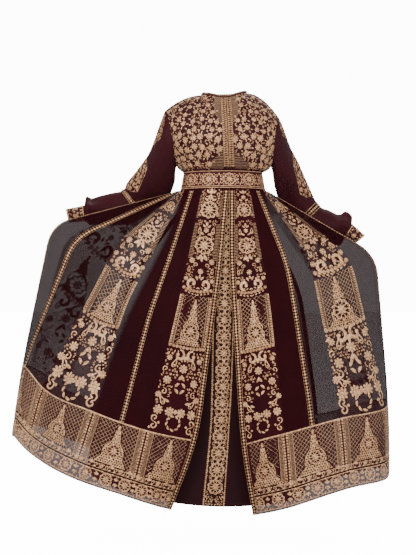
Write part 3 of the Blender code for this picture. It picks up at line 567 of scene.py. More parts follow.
def moved(motif, x=0.0, y=0.0, turn=0.0, size=1.0, flip=False):
    """A copy of a motif turned by degrees, sized, mirrored if asked and moved."""
    points = motif.points * size
    triangles = motif.triangles
    if flip:
        points = points * np.array([-1.0, 1.0, 1.0])
        triangles = triangles[:, ::-1]
    c, s = math.cos(math.radians(turn)), math.sin(math.radians(turn))
    rotated = np.stack(
        (points[:, 0] * c - points[:, 1] * s + x, points[:, 0] * s + points[:, 1] * c + y, points[:, 2]),
        axis=1,
    )
    return Motif(rotated, triangles)


def mirrored_pair(motif):
    return joined(motif, moved(motif, flip=True))


def ribbon(path, widths, height):
    """A raised stitch line along a path, highest in its middle."""
    path = np.asarray(path, float)
    widths = np.broadcast_to(np.asarray(widths, float), (len(path),))
    ahead = unit(np.gradient(path, axis=0))
    beside = np.stack((-ahead[:, 1], ahead[:, 0]), axis=1)
    tall = height * widths / widths.max()
    left = np.column_stack((path + beside * widths[:, None] / 2, 0 * tall))
    middle = np.column_stack((path, tall))
    right = np.column_stack((path - beside * widths[:, None] / 2, 0 * tall))
    points = np.stack((left, middle, right), axis=1).reshape(-1, 3)
    triangles = []
    for i in range(len(path) - 1):
        for k in (0, 1):
            a, b = 3 * i + k, 3 * i + k + 1
            triangles += [(a, b, b + 3), (a, b + 3, a + 3)]
    return Motif(points, np.array(triangles))


def disc(radius, sides, height):
    angles = np.arange(sides) * 2 * math.pi / sides
    rim = np.column_stack((np.cos(angles) * radius, np.sin(angles) * radius, 0 * angles))
    points = np.vstack((rim, (0.0, 0.0, height)))
    triangles = [(i, (i + 1) % sides, sides) for i in range(sides)]
    return Motif(points, np.array(triangles))


def petal(length, width, height, start=0.0):
    """A rounded petal pointing up from a start above the origin."""
    shares = np.array([0.0, 0.34, 0.78, 1.0])
    path = np.column_stack((0 * shares, start + shares * length))
    return ribbon(path, width * np.array([0.35, 0.90, 0.95, 0.25]), height)


def leaf(length, width, height, bend=0.0):
    shares = np.array([0.0, 0.30, 0.66, 1.0])
    path = np.column_stack((bend * np.sin(math.pi * shares), shares * length))
    return ribbon(path, width * np.array([0.15, 0.95, 0.90, 0.08]), height)


def flower(radius, petals, height=STITCH):
    around = [
        moved(petal(radius * 0.72, radius * 3.6 / petals, height, radius * 0.28), turn=360 * i / petals)
        for i in range(petals)
    ]
    return joined(*around, disc(radius * 0.30, 6, height * 1.5))


def arc(radius, first, last, width, height):
    """Part of a circle between two angles in degrees, from +x the left-hand way."""
    angles = np.radians(np.linspace(first, last, 5))
    path = np.column_stack((np.cos(angles), np.sin(angles))) * radius
    taper = 0.45 + 0.55 * np.sin(np.linspace(0.15, math.pi - 0.15, 5))
    return ribbon(path, width * taper, height)


def scroll(radius, turns, width):
    """A spiral that starts at the bottom of its outer turn and curls in to a knob."""
    shares = np.linspace(0.0, 1.0, 9)
    angles = -math.pi / 2 + 2 * math.pi * turns * shares
    reach = radius * (1.0 - 0.72 * shares)
    path = np.column_stack((np.cos(angles) * reach, np.sin(angles) * reach))
    curl = ribbon(path, width * (0.55 + 0.45 * np.sin(math.pi * shares)), STITCH)
    knob = moved(disc(width * 0.62, 6, STITCH * 1.2), x=path[-1, 0], y=path[-1, 1])
    return joined(curl, knob)


def paisley(length, width):
    """The outline of a drop with a curled tip, round a small seed."""
    height = 0.0009
    shares = np.linspace(0.0, 1.0, 10)
    rise = (1.0 + np.cos(2 * math.pi * shares)) / 2.0
    beside = np.sin(2 * math.pi * shares) * np.sin(math.pi * shares) ** 1.2
    path = np.column_stack((width * 0.55 * beside + 0.22 * length * rise**2.4, length * rise))
    return joined(
        ribbon(path, width * 0.24, height), moved(disc(width * 0.20, 6, height * 1.4), y=length * 0.28)
    )


def medallion(radius):
    """A full flower, a dark ring crossed by thin rays, and a scalloped rim."""
    parts = [flower(radius * 0.50, 8, 0.0011)]
    ray = ribbon([(0.0, radius * 0.48), (0.0, radius * 0.80)], radius * 0.085, 0.0006)
    lobe = moved(arc(radius * 0.235, 205, -25, radius * 0.17, 0.0009), y=radius * 0.75)
    dot = moved(disc(radius * 0.070, 6, STITCH), y=radius * 0.78)
    for i in range(10):
        parts.append(moved(ray, turn=36 * i + 18))
        parts.append(moved(joined(lobe, dot), turn=36 * i))
    return joined(*parts)


def small_motifs(size):
    """The mixed small stitches that fill a dense ground."""
    slim = leaf(size * 0.95, size * 0.36, STITCH)
    dot = disc(size * 0.21, 6, STITCH)
    return (
        flower(size * 0.52, 5),
        moved(leaf(size * 1.05, size * 0.46, STITCH, size * 0.10), y=-size * 0.52),
        scroll(size * 0.45, 0.95, size * 0.24),
        joined(
            moved(slim, x=-size * 0.22, y=-size * 0.45, turn=16),
            moved(slim, x=size * 0.22, y=-size * 0.45, turn=-16),
        ),
        moved(paisley(size * 1.1, size * 0.55), y=-size * 0.55),
        joined(moved(dot, x=-size * 0.25), moved(dot, x=size * 0.25), moved(dot, y=size * 0.36)),
    )


class Embroidery:
    """Gathers stitches on surfaces and turns them into one piece."""

    def __init__(self, lift):
        self.lift = lift
        self.points = []
        self.triangles = []
        self.count = 0

    def keep(self, points, triangles):
        self.points.append(points.reshape(-1, 3))
        self.triangles.append(triangles + self.count)
        self.count += len(self.points[-1])

    def sew(self, surface, motif, across, down, size=1.0, turn=0.0, flip=False, lift=0.0):
        """Sews a copy of the motif at each place."""
        across, down, size, turn = alike(*np.atleast_1d(across, down, size, turn))
        if len(across) == 0:
            return
        if flip:
            motif = moved(motif, flip=True)
        c, s = np.cos(np.radians(turn))[:, None], np.sin(np.radians(turn))[:, None]
        x, y, z = motif.points.T
        right = (x * c - y * s) * size[:, None]
        up = (x * s + y * c) * size[:, None]
        go_across, go_down = surface.steps(across[:, None], down[:, None], right, up)
        height = self.lift + lift + z[None, :]
        points = surface.at(across[:, None] + go_across, down[:, None] + go_down, height)
        starts = np.arange(len(across))[:, None, None] * len(x)
        triangles = (motif.triangles[None] + starts).reshape(-1, 3)
        self.keep(points, triangles)

    def line(self, surface, across, down, width, height=0.0004, lift=0.0):
        """A stitched line through the given places, raised along its middle."""
        across, down = alike(across, down)
        base = surface.at(across, down, self.lift + lift)
        normals = unit(surface.read(surface.normals, across, down))
        beside = np.cross(unit(np.gradient(base, axis=0)), normals)
        points = np.stack(
            (base - beside * width / 2, base + normals * height, base + beside * width / 2), axis=1
        )
        n = len(across)
        a = (np.arange(n - 1)[:, None] * 3 + np.arange(2)[None]).ravel()
        triangles = np.concatenate(
            (np.stack((a, a + 1, a + 4), axis=1), np.stack((a, a + 4, a + 3), axis=1))
        )
        self.keep(points, triangles)

    def piece(self, name, look, slot):
        add_piece(name, np.concatenate(self.points), np.concatenate(self.triangles), look)


def add_piece(name, points, faces, look, spots=None):
    """A mesh piece that rides on the garment's one body."""
    data = bpy.data.meshes.new(name)
    data.from_pydata(points.tolist(), [], faces.tolist())
    data.update()
    if spots is not None:
        data.uv_layers.new(name="cut").data.foreach_set("uv", spots.astype(np.float32).ravel())
    data.shade_smooth()
    data.set_sharp_from_angle(angle=math.radians(60))
    data.materials.append(finish(look))
    made = bpy.data.objects.new(name, data)
    bpy.context.scene.collection.objects.link(made)
    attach(made, "root")
    return made


def lengths_along(points, axis):
    steps = np.linalg.norm(np.diff(points, axis=axis), axis=-1)
    zero = np.zeros_like(np.take(steps, [0], axis=axis))
    return np.cumsum(np.concatenate((zero, steps), axis=axis), axis=axis)


def add_cloth(name, surface, across, down, look, slot, held=None, lift=0.0, thickness=CLOTH):
    """A thin shell of cloth on its surface, round the whole of it where the ends meet.

    It is cut flat to its own size. The held argument is not used.
    """
    across, down = alike(across, down)
    outer = surface.at(across, down, lift)
    inner = surface.at(across, down, lift - thickness)
    rows, columns = across.shape
    closed = np.allclose(outer[:, 0], outer[:, -1], atol=1e-7)
    n = rows * columns
    index = np.arange(n).reshape(rows, columns)
    sheet = np.stack((index[:-1, :-1], index[:-1, 1:], index[1:, 1:], index[1:, :-1]), axis=-1)
    sheet = sheet.reshape(-1, 4)
    rims = [(index[0, :-1], index[0, 1:]), (index[-1, 1:], index[-1, :-1])]
    if not closed:
        rims += [(index[1:, 0], index[:-1, 0]), (index[:-1, -1], index[1:, -1])]
    edges = [np.stack((first, first + n, second + n, second), axis=-1) for first, second in rims]
    corners = np.concatenate((sheet, sheet[:, ::-1] + n, *edges))
    if surface.facing < 0:
        corners = corners[:, ::-1]
    spots = np.stack((lengths_along(outer, 1), lengths_along(outer, 0)), axis=-1).reshape(-1, 2)
    spots = np.concatenate((spots, spots))[corners.ravel()]
    if closed:
        merged = np.arange(2 * n)
        merged[index[:, -1]] = index[:, 0]
        merged[index[:, -1] + n] = index[:, 0] + n
        corners = merged[corners]
    used, faces = np.unique(corners, return_inverse=True)
    points = np.concatenate((outer.reshape(-1, 3), inner.reshape(-1, 3)))[used]
    made = add_piece(name, points, faces.reshape(corners.shape), look, spots)
    return made


def new_finish(name, roughness, metallic=0.0, sheen=0.0, alpha=1.0, shine=0.5):
    made = bpy.data.materials.new(name)
    made.use_nodes = True
    shader = made.node_tree.nodes["Principled BSDF"]
    shader.inputs["Roughness"].default_value = roughness
    shader.inputs["Metallic"].default_value = metallic
    shader.inputs["Sheen Weight"].default_value = sheen
    shader.inputs["Specular IOR Level"].default_value = shine
    shader.inputs["Alpha"].default_value = alpha
    return made, made.node_tree, shader


def tone(tree, shader, dark, light, coordinates, scale, detail=3.0, spread=(0.35, 0.65)):
    """Colour that wanders between two tones."""
    noise = tree.nodes.new("ShaderNodeTexNoise")
    noise.inputs["Scale"].default_value = scale
    noise.inputs["Detail"].default_value = detail
    ramp = tree.nodes.new("ShaderNodeValToRGB")
    ramp.color_ramp.elements[0].position = spread[0]
    ramp.color_ramp.elements[0].color = (*dark, 1.0)
    ramp.color_ramp.elements[1].position = spread[1]
    ramp.color_ramp.elements[1].color = (*light, 1.0)
    tree.links.new(coordinates, noise.inputs["Vector"])
    tree.links.new(noise.outputs["Fac"], ramp.inputs["Fac"])
    tree.links.new(ramp.outputs["Color"], shader.inputs["Base Color"])


def bump(tree, shader, height, strength, distance):
    made = tree.nodes.new("ShaderNodeBump")
    made.inputs["Strength"].default_value = strength
    made.inputs["Distance"].default_value = distance
    tree.links.new(height, made.inputs["Height"])
    tree.links.new(made.outputs["Normal"], shader.inputs["Normal"])


def coordinates_of(tree, kind):
    return tree.nodes.new("ShaderNodeTexCoord").outputs[kind]


def weave(tree, threads):
    """Height of a plain weave on the cut cloth, with this many threads a metre."""
    spots = coordinates_of(tree, "UV")
    both = []
    for direction in ("X", "Y"):
        wave = tree.nodes.new("ShaderNodeTexWave")
        wave.bands_direction = direction
        wave.inputs["Scale"].default_value = threads / 20.0
        wave.inputs["Distortion"].default_value = 1.2
        wave.inputs["Detail Scale"].default_value = 2.0
        tree.links.new(spots, wave.inputs["Vector"])
        both.append(wave.outputs["Fac"])
    added = tree.nodes.new("ShaderNodeMath")
    added.operation = "ADD"
    tree.links.new(both[0], added.inputs[0])
    tree.links.new(both[1], added.inputs[1])
    return added.outputs["Value"]


def cloth_finish(name, colour, light, roughness, sheen, alpha, threads, shine=0.15):
    made, tree, shader = new_finish(name, roughness, 0.0, sheen, alpha, shine)
    tone(tree, shader, colour, light, coordinates_of(tree, "Object"), 9.0, 4.0, (0.30, 0.72))
    shader.inputs["Sheen Tint"].default_value = (0.62, 0.30, 0.38, 1.0)
    bump(tree, shader, weave(tree, threads), 0.10, 0.00006)
    return made


def backed_cover(made, single):
    """Lets a single layer of gore cloth show what is behind, but not where it is backed."""
    tree = made.node_tree
    backed = tree.nodes.new("ShaderNodeAttribute")
    backed.attribute_name = "backed"
    cover = tree.nodes.new("ShaderNodeMapRange")
    cover.inputs["To Min"].default_value = single
    cover.inputs["To Max"].default_value = BACKED_COVER
    tree.links.new(backed.outputs["Fac"], cover.inputs["Value"])
    tree.links.new(cover.outputs["Result"], tree.nodes["Principled BSDF"].inputs["Alpha"])


def thread_finish(name, dark, light, scale, metallic, roughness, sheen=0.15, shine=0.5):
    """Laid thread: fine ridges, and colour that wanders at random between a dark and a light tone. For the
    gold thread that is partly its own tone from stitch to stitch, and partly painted highlight and painted
    shade.
    """
    made, tree, shader = new_finish(name, roughness, metallic, sheen, 1.0, shine)
    spots = coordinates_of(tree, "Object")
    tone(tree, shader, dark, light, spots, scale, 2.5, (0.36, 0.62))
    noise = tree.nodes.new("ShaderNodeTexNoise")
    noise.inputs["Scale"].default_value = 1400.0
    noise.inputs["Detail"].default_value = 1.0
    tree.links.new(spots, noise.inputs["Vector"])
    bump(tree, shader, noise.outputs["Fac"], 0.6, 0.0004)
    return made


def cord_finish(name, dark, light):
    """A twisted cord: slanting ridges that catch the light."""
    made, tree, shader = new_finish(name, 0.45, metallic=0.15, sheen=0.2)
    spots = coordinates_of(tree, "Object")
    tone(tree, shader, dark, light, spots, 120.0)
    wave = tree.nodes.new("ShaderNodeTexWave")
    wave.bands_direction = "DIAGONAL"
    wave.inputs["Scale"].default_value = 90.0
    wave.inputs["Distortion"].default_value = 0.6
    tree.links.new(spots, wave.inputs["Vector"])
    bump(tree, shader, wave.outputs["Fac"], 0.7, 0.0006)
    return made


# The finishes made so far, by name
FINISH = {}

# How much a gore's cloth hides where the inner skirt lies behind it, the width over which
# that fades to a single layer's cover, and how much more a single layer of net hides
BACKED_COVER = 0.93
BACKED_FADE = 0.030
NET_EXTRA_COVER = 0.08


def shade(colour, share):
    return tuple(value * share for value in colour)


def finish(name):
    """The garment's finishes, made once and shared by the pieces."""
    if not FINISH:
        look = bpy.context.scene.kaftan_colours
        dark = tuple(look.cloth)
        gold = tuple(look.thread)
        pale_and_highlight = tuple(look.pale_thread_and_highlight)
        lighter = shade(dark, 1.35)
        darker = shade(dark, 0.45)
        darkest = shade(dark, 0.25)
        mild = shade(dark, 0.65)
        brown = shade(pale_and_highlight, 0.34)
        tan = shade(pale_and_highlight, 0.62)
        deep = shade(gold, 0.12)
        FINISH["sheer"] = cloth_finish("sheer chiffon", darker, mild, 0.66, 0.0, 1.0, 1500, 0.06)
        FINISH["net"] = cloth_finish("gore net", mild, dark, 0.62, 0.01, 1.0, 900, 0.08)
        backed_cover(FINISH["sheer"], look.sheerness)
        backed_cover(FINISH["net"], look.sheerness + NET_EXTRA_COVER)
        FINISH["sleeve"] = cloth_finish("sleeve chiffon", dark, lighter, 0.62, 0.03, 0.74, 1500)
        FINISH["ground"] = cloth_finish("embroidery ground net", dark, lighter, 0.60, 0.05, 0.62, 900)
        FINISH["belt"] = cloth_finish("belt cloth", tuple(look.belt), dark, 0.6, 0.05, 1.0, 900)
        FINISH["lining"] = cloth_finish("skirt lining", tuple(look.lining), darker, 0.55, 0.02, 1.0, 1300)
        FINISH["binding"] = cloth_finish("binding", tuple(look.lining), dark, 0.5, 0.1, 1.0, 1500)
        FINISH["band"] = cloth_finish("band ground", dark, deep, 0.7, 0.0, 1.0, 900)
        # The gold thread's colour wanders at random from the darker thread tone to the pale one. Part of
        # that is the thread's own tone. Part is painted highlight and painted shade, standing in for light
        # caught by threads laid in different directions.
        FINISH["thread"] = thread_finish("gold thread", gold, pale_and_highlight, 190.0, 0.3, 0.36)
        FINISH["fine thread"] = thread_finish("fine gold thread", brown, tan, 200.0, 0.15, 0.5)
        FINISH["dark thread"] = thread_finish("dark thread", darkest, darker, 300.0, 0.0, 0.6, 0.0, 0.05)
        FINISH["piping"] = cord_finish("piping cord", tuple(look.piping), pale_and_highlight)
    return FINISH[name]


def edge_at(edge, down):
    """Where an edge lies on its way down. It is one place, or a function of how far down."""
    return edge(down) if callable(edge) else np.full_like(down, edge)


def evenly(line, values, pitch):
    """Values at an even pitch along a line, from the values at its points."""
    run = lengths_along(line, 0)
    count = max(1, int(round(run[-1] / pitch)))
    return np.interp((np.arange(count) + 0.5) * run[-1] / count, run, values)


def spaced(surface, down, first, last, pitch):
    """Places at an even pitch along one row, from the first to the last."""
    fine = np.linspace(first, last, 400)
    return evenly(surface.at(fine, down), fine, pitch)


def spaced_down(surface, across, first, last, pitch):
    """Places at an even pitch down a line whose place across may change on the way."""
    fine = np.linspace(first, last, 400)
    down = evenly(surface.at(edge_at(across, fine), fine), fine, pitch)
    return edge_at(across, down), down


def scattered(surface, first, last, top, bottom, spacing, seed, wanted):
    """Places all over an area, in uneven rows, where the test wants them."""
    rng = np.random.default_rng(seed)
    middle = (first + last) / 2.0
    rows = spaced_down(surface, middle, top, bottom, spacing * 0.88)[1]
    places, levels = [], []
    for i, row in enumerate(rows):
        here = spaced(surface, row, first, last, spacing)
        step = (last - first) / max(len(here), 1)
        here = here + step * (0.25 if i % 2 else -0.25)
        here = here + rng.uniform(-0.16, 0.16, len(here)) * step
        places.append(here)
        levels.append(row + rng.uniform(-0.16, 0.16, len(here)) * abs(rows[1] - rows[0]))
    across, down = np.concatenate(places), np.concatenate(levels)
    chosen = wanted(across, down)
    return across[chosen], down[chosen], rng


def fill_ground(work, surface, first, last, top, bottom, spacing, seed, wanted, size):
    """Covers an area with mixed small stitches."""
    across, down, rng = scattered(surface, first, last, top, bottom, spacing, seed, wanted)
    motifs = small_motifs(spacing * size)
    kinds = rng.integers(0, len(motifs), len(across))
    turns = rng.uniform(0.0, 360.0, len(across))
    sizes = rng.uniform(0.86, 1.14, len(across))
    for kind, motif in enumerate(motifs):
        chosen = kinds == kind
        places = (across[chosen], down[chosen])
        work.sew(surface, motif, *places, sizes[chosen], turns[chosen], flip=kind % 2 == 1)


def stretches(inside):
    """First and last index of each run of three or more places that are inside."""
    starts = np.flatnonzero(inside & ~np.concatenate(([False], inside[:-1])))
    ends = np.flatnonzero(inside & ~np.concatenate((inside[1:], [False])))
    return [(start, end) for start, end in zip(starts, ends) if end > start + 1]


def both_ways(first, last, columns, top, bottom, rows):
    """A grid between two edges, which may change on the way down."""
    down = np.linspace(top, bottom, rows + 1)[:, None]
    start, end = edge_at(first, down), edge_at(last, down)
    return start + (end - start) * np.linspace(0.0, 1.0, columns + 1)[None, :], down


def gore_width(place, level):
    """Metres of cloth that one gore's width covers here."""
    place, level = alike(place, level)
    return np.linalg.norm(OVERSKIRT.read(OVERSKIRT.along, place, level), axis=-1)


def beside_line(place, offset):
    """A line down the overskirt that keeps this far from a place between gores."""
    return lambda level: place + offset / gore_width(place, level)


def panel_edge(sign):
    """An edge of the inner skirt's front panel, as an angle at each level."""

    def angle(level):
        levels = INNER.down
        reach_right = np.interp(level, levels, INNER_HOOP.right[:, 0])
        reach_left = np.interp(level, levels, INNER_HOOP.left[:, 0])
        x = np.interp(level, levels, INNER_HOOP.panel_x[:, 0]) + sign * INNER_PANEL_WIDTH / 2
        return -np.arcsin(x / np.where(x > 0, reach_left, reach_right))

    return angle


def add_cord(name, line):
    """A closed cord along a ring of points, with the ridges of its twisted strands."""
    ahead = unit(np.roll(line, -1, axis=0) - np.roll(line, 1, axis=0))
    up = np.array([0.0, 0.0, 1.0])
    out = unit(np.cross(ahead, up))
    over = np.cross(out, ahead)
    angles = np.arange(CORD_SIDES) * 2 * math.pi / CORD_SIDES
    twist = 2 * math.pi * lengths_along(line, 0)[:, None] / CORD_PITCH
    ridges = np.cos(CORD_STRANDS * (angles[None] - twist / CORD_STRANDS))
    swell = CORD_RADIUS * (1.0 + CORD_GROOVE * ridges)
    ring = np.cos(angles)[None, :, None] * out[:, None] + np.sin(angles)[None, :, None] * over[:, None]
    points = line[:, None] + ring * swell[..., None]
    rings = np.arange(len(line))[:, None] * CORD_SIDES
    sides = np.arange(CORD_SIDES)[None]
    a, b = rings + sides, rings + (sides + 1) % CORD_SIDES
    c, d = np.roll(b, -1, axis=0), np.roll(a, -1, axis=0)
    faces = np.stack((a, b, c, d), axis=-1).reshape(-1, 4)
    return add_piece(name, points.reshape(-1, 3), faces, "piping")


# How far apart the rows of laid thread, the dark stitches in a form, the lines of a
# lattice and the links of a band lie
SATIN_PITCH = 0.0026
PRICK_ROWS = 0.0072
PRICK_PITCH = 0.0084
LATTICE_PITCH = 0.0100
CHAIN_PITCH = 0.0100


class Field:
    """A strip of the garment to lay embroidery on, in metres from its middle line.

    Down is counted along the middle line, and across to the right as seen from outside.
    """

    def __init__(self, surface, first, last, top, bottom):
        self.surface = surface
        self.levels = np.linspace(top, bottom, 240)
        start, end = edge_at(first, self.levels), edge_at(last, self.levels)
        self.middles = (start + end) / 2.0
        self.run = lengths_along(surface.at(self.middles, self.levels), 0)
        self.long = self.run[-1]
        along = surface.read(surface.along, self.middles, self.levels)
        beside, above = surface.ways(self.middles, self.levels)
        self.stretch = np.sum(along * beside, axis=-1)
        self.halves = np.abs((end - start) * self.stretch) / 2.0
        self.sewn = []

    def spot(self, across, down):
        level = np.interp(down, self.run, self.levels)
        middle = np.interp(down, self.run, self.middles)
        return middle + np.asarray(across, float) / np.interp(down, self.run, self.stretch), level

    def half(self, down):
        return np.interp(down, self.run, self.halves)

    def sew(self, work, motif, across, down, size=1.0, turn=0.0, flip=False, lift=0.0):
        across, down = alike(across, down)
        work.sew(self.surface, motif, *self.spot(across, down), size, turn, flip, lift)
        self.note(motif, across, down, size, turn, flip)

    def note(self, motif, across, down, size, turn, flip):
        """Keeps where a motif's stitches lie, so that others can be kept clear of them."""
        across, down, size, turn = alike(*np.atleast_1d(across, down, size, turn))
        x, y = motif.points[motif.triangles].mean(axis=1)[:, :2].T
        x = -x if flip else x
        c, s = np.cos(np.radians(turn))[:, None], np.sin(np.radians(turn))[:, None]
        right = across[:, None] + (x * c - y * s) * size[:, None]
        below = down[:, None] - (x * s + y * c) * size[:, None]
        self.sewn.append(np.stack((right, below), axis=-1).reshape(-1, 2))

    def free(self, across, down, reach):
        """Which of these places have no stitch of a motif within reach."""
        sewn = np.concatenate(self.sewn)
        gaps = [np.min(np.sum((sewn - place) ** 2, axis=1)) for place in zip(across, down)]
        return np.array(gaps) > reach * reach

    def fill(self, work, first, last, spacing, seed, edge, clear, size, inside=None):
        """Small stitches, mirrored about the middle line, wherever there is room."""
        rng = np.random.default_rng(seed)
        across, down = [], []
        for i, row in enumerate(np.arange(first, last, spacing * 0.88)):
            start = spacing * (0.55 if i % 2 else 0.95)
            here = np.arange(start, self.half(row) - edge, spacing)
            across.append(here + rng.uniform(-0.10, 0.10, len(here)) * spacing)
            down.append(row + rng.uniform(-0.10, 0.10, len(here)) * spacing)
        across, down = np.concatenate(across), np.concatenate(down)
        keep = self.free(across, down, clear)
        if inside:
            keep = keep & inside(across, down)
        across, down = across[keep], down[keep]
        motifs = small_motifs(spacing * size)
        kinds = rng.integers(0, len(motifs), len(across))
        turns = rng.uniform(0.0, 360.0, len(across))
        for kind, motif in enumerate(motifs):
            chosen = kinds == kind
            self.pair(work, motif, across[chosen], down[chosen], 1.0, turns[chosen])

    def pair(self, work, motif, across, down, size=1.0, turn=0.0, lift=0.0):
        """Sews a motif on the right and its mirror image on the left."""
        across = np.asarray(across, float)
        self.sew(work, motif, across, down, size, turn, False, lift)
        self.sew(work, motif, -across, down, size, -np.asarray(turn), True, lift)

    def line(self, work, across, down, width, height=0.0004, lift=0.0):
        across, down = alike(across, down)
        work.line(self.surface, *self.spot(across, down), width, height, lift)

    def satin(self, work, first, last, reach, heart, clear):
        """Rows of laid thread between two levels, as wide as the form, but not in its heart."""
        for row in np.arange(first, last, SATIN_PITCH):
            half = float(reach(row))
            near = math.sqrt(max(clear * clear - (row - heart) ** 2, 0.0))
            if half > near + 0.002:
                few = np.linspace(near, half, max(2, int((half - near) / 0.007) + 1))
                for sign in (-1.0, 1.0):
                    self.line(work, sign * few, row, 0.0022)

    def pricks(self, work, first, last, reach, heart, clear):
        """Small dark stitches all over a form, mirrored about its middle line."""
        for i, row in enumerate(np.arange(first, last, PRICK_ROWS)):
            here = np.arange(PRICK_PITCH / (2 if i % 2 else 1), float(reach(row)) - 0.0020, PRICK_PITCH)
            here = here[np.hypot(here, row - heart) > clear]
            self.pair(work, DOT, here, row, 0.0026, 0.0, 0.0009)

    def lattice(self, work, first, last, width, inside):
        """Crossing slanted lines over the part of the strip that the test picks."""
        down = np.linspace(first, last, max(4, int((last - first) / 0.004)))
        reach = self.half(down).max() + last - first
        for slant in (1.0, -1.0):
            for start in np.arange(-reach, reach, LATTICE_PITCH * math.sqrt(2.0)):
                across = start + slant * (down - first)
                for i, k in stretches(inside(np.abs(across), down)):
                    few = np.linspace(i, k, max(2, (k - i) // 3)).astype(int)
                    self.line(work, across[few], down[few], width)


FLOWER = flower(1.0, 6)
DAISY = flower(1.0, 8, 0.0010)
DOT = disc(1.0, 6, STITCH)
BEAD = disc(1.0, 8, 0.0016)
LEAF = leaf(1.0, 0.46, STITCH, 0.10)
BUD = petal(1.0, 0.52, STITCH)
CURL = scroll(0.5, 0.95, 0.18)
DROP = paisley(1.0, 0.52)
MEDALLION = medallion(1.0)
TRIO = joined(BUD, mirrored_pair(moved(BUD, turn=-48, size=0.85)))


def gore_field(start):
    """The embroidered part of a gore, beside the front edge's trim where it has one."""
    first, last = float(start), float(start + 1)
    if start == 0:
        first = beside_line(0.0, FRONT_TRIM_WIDTH)
    if start == GORES - 1:
        last = beside_line(float(GORES), -FRONT_TRIM_WIDTH)
    return Field(OVERSKIRT, first, last, 0.0, BORDER_LEVEL)


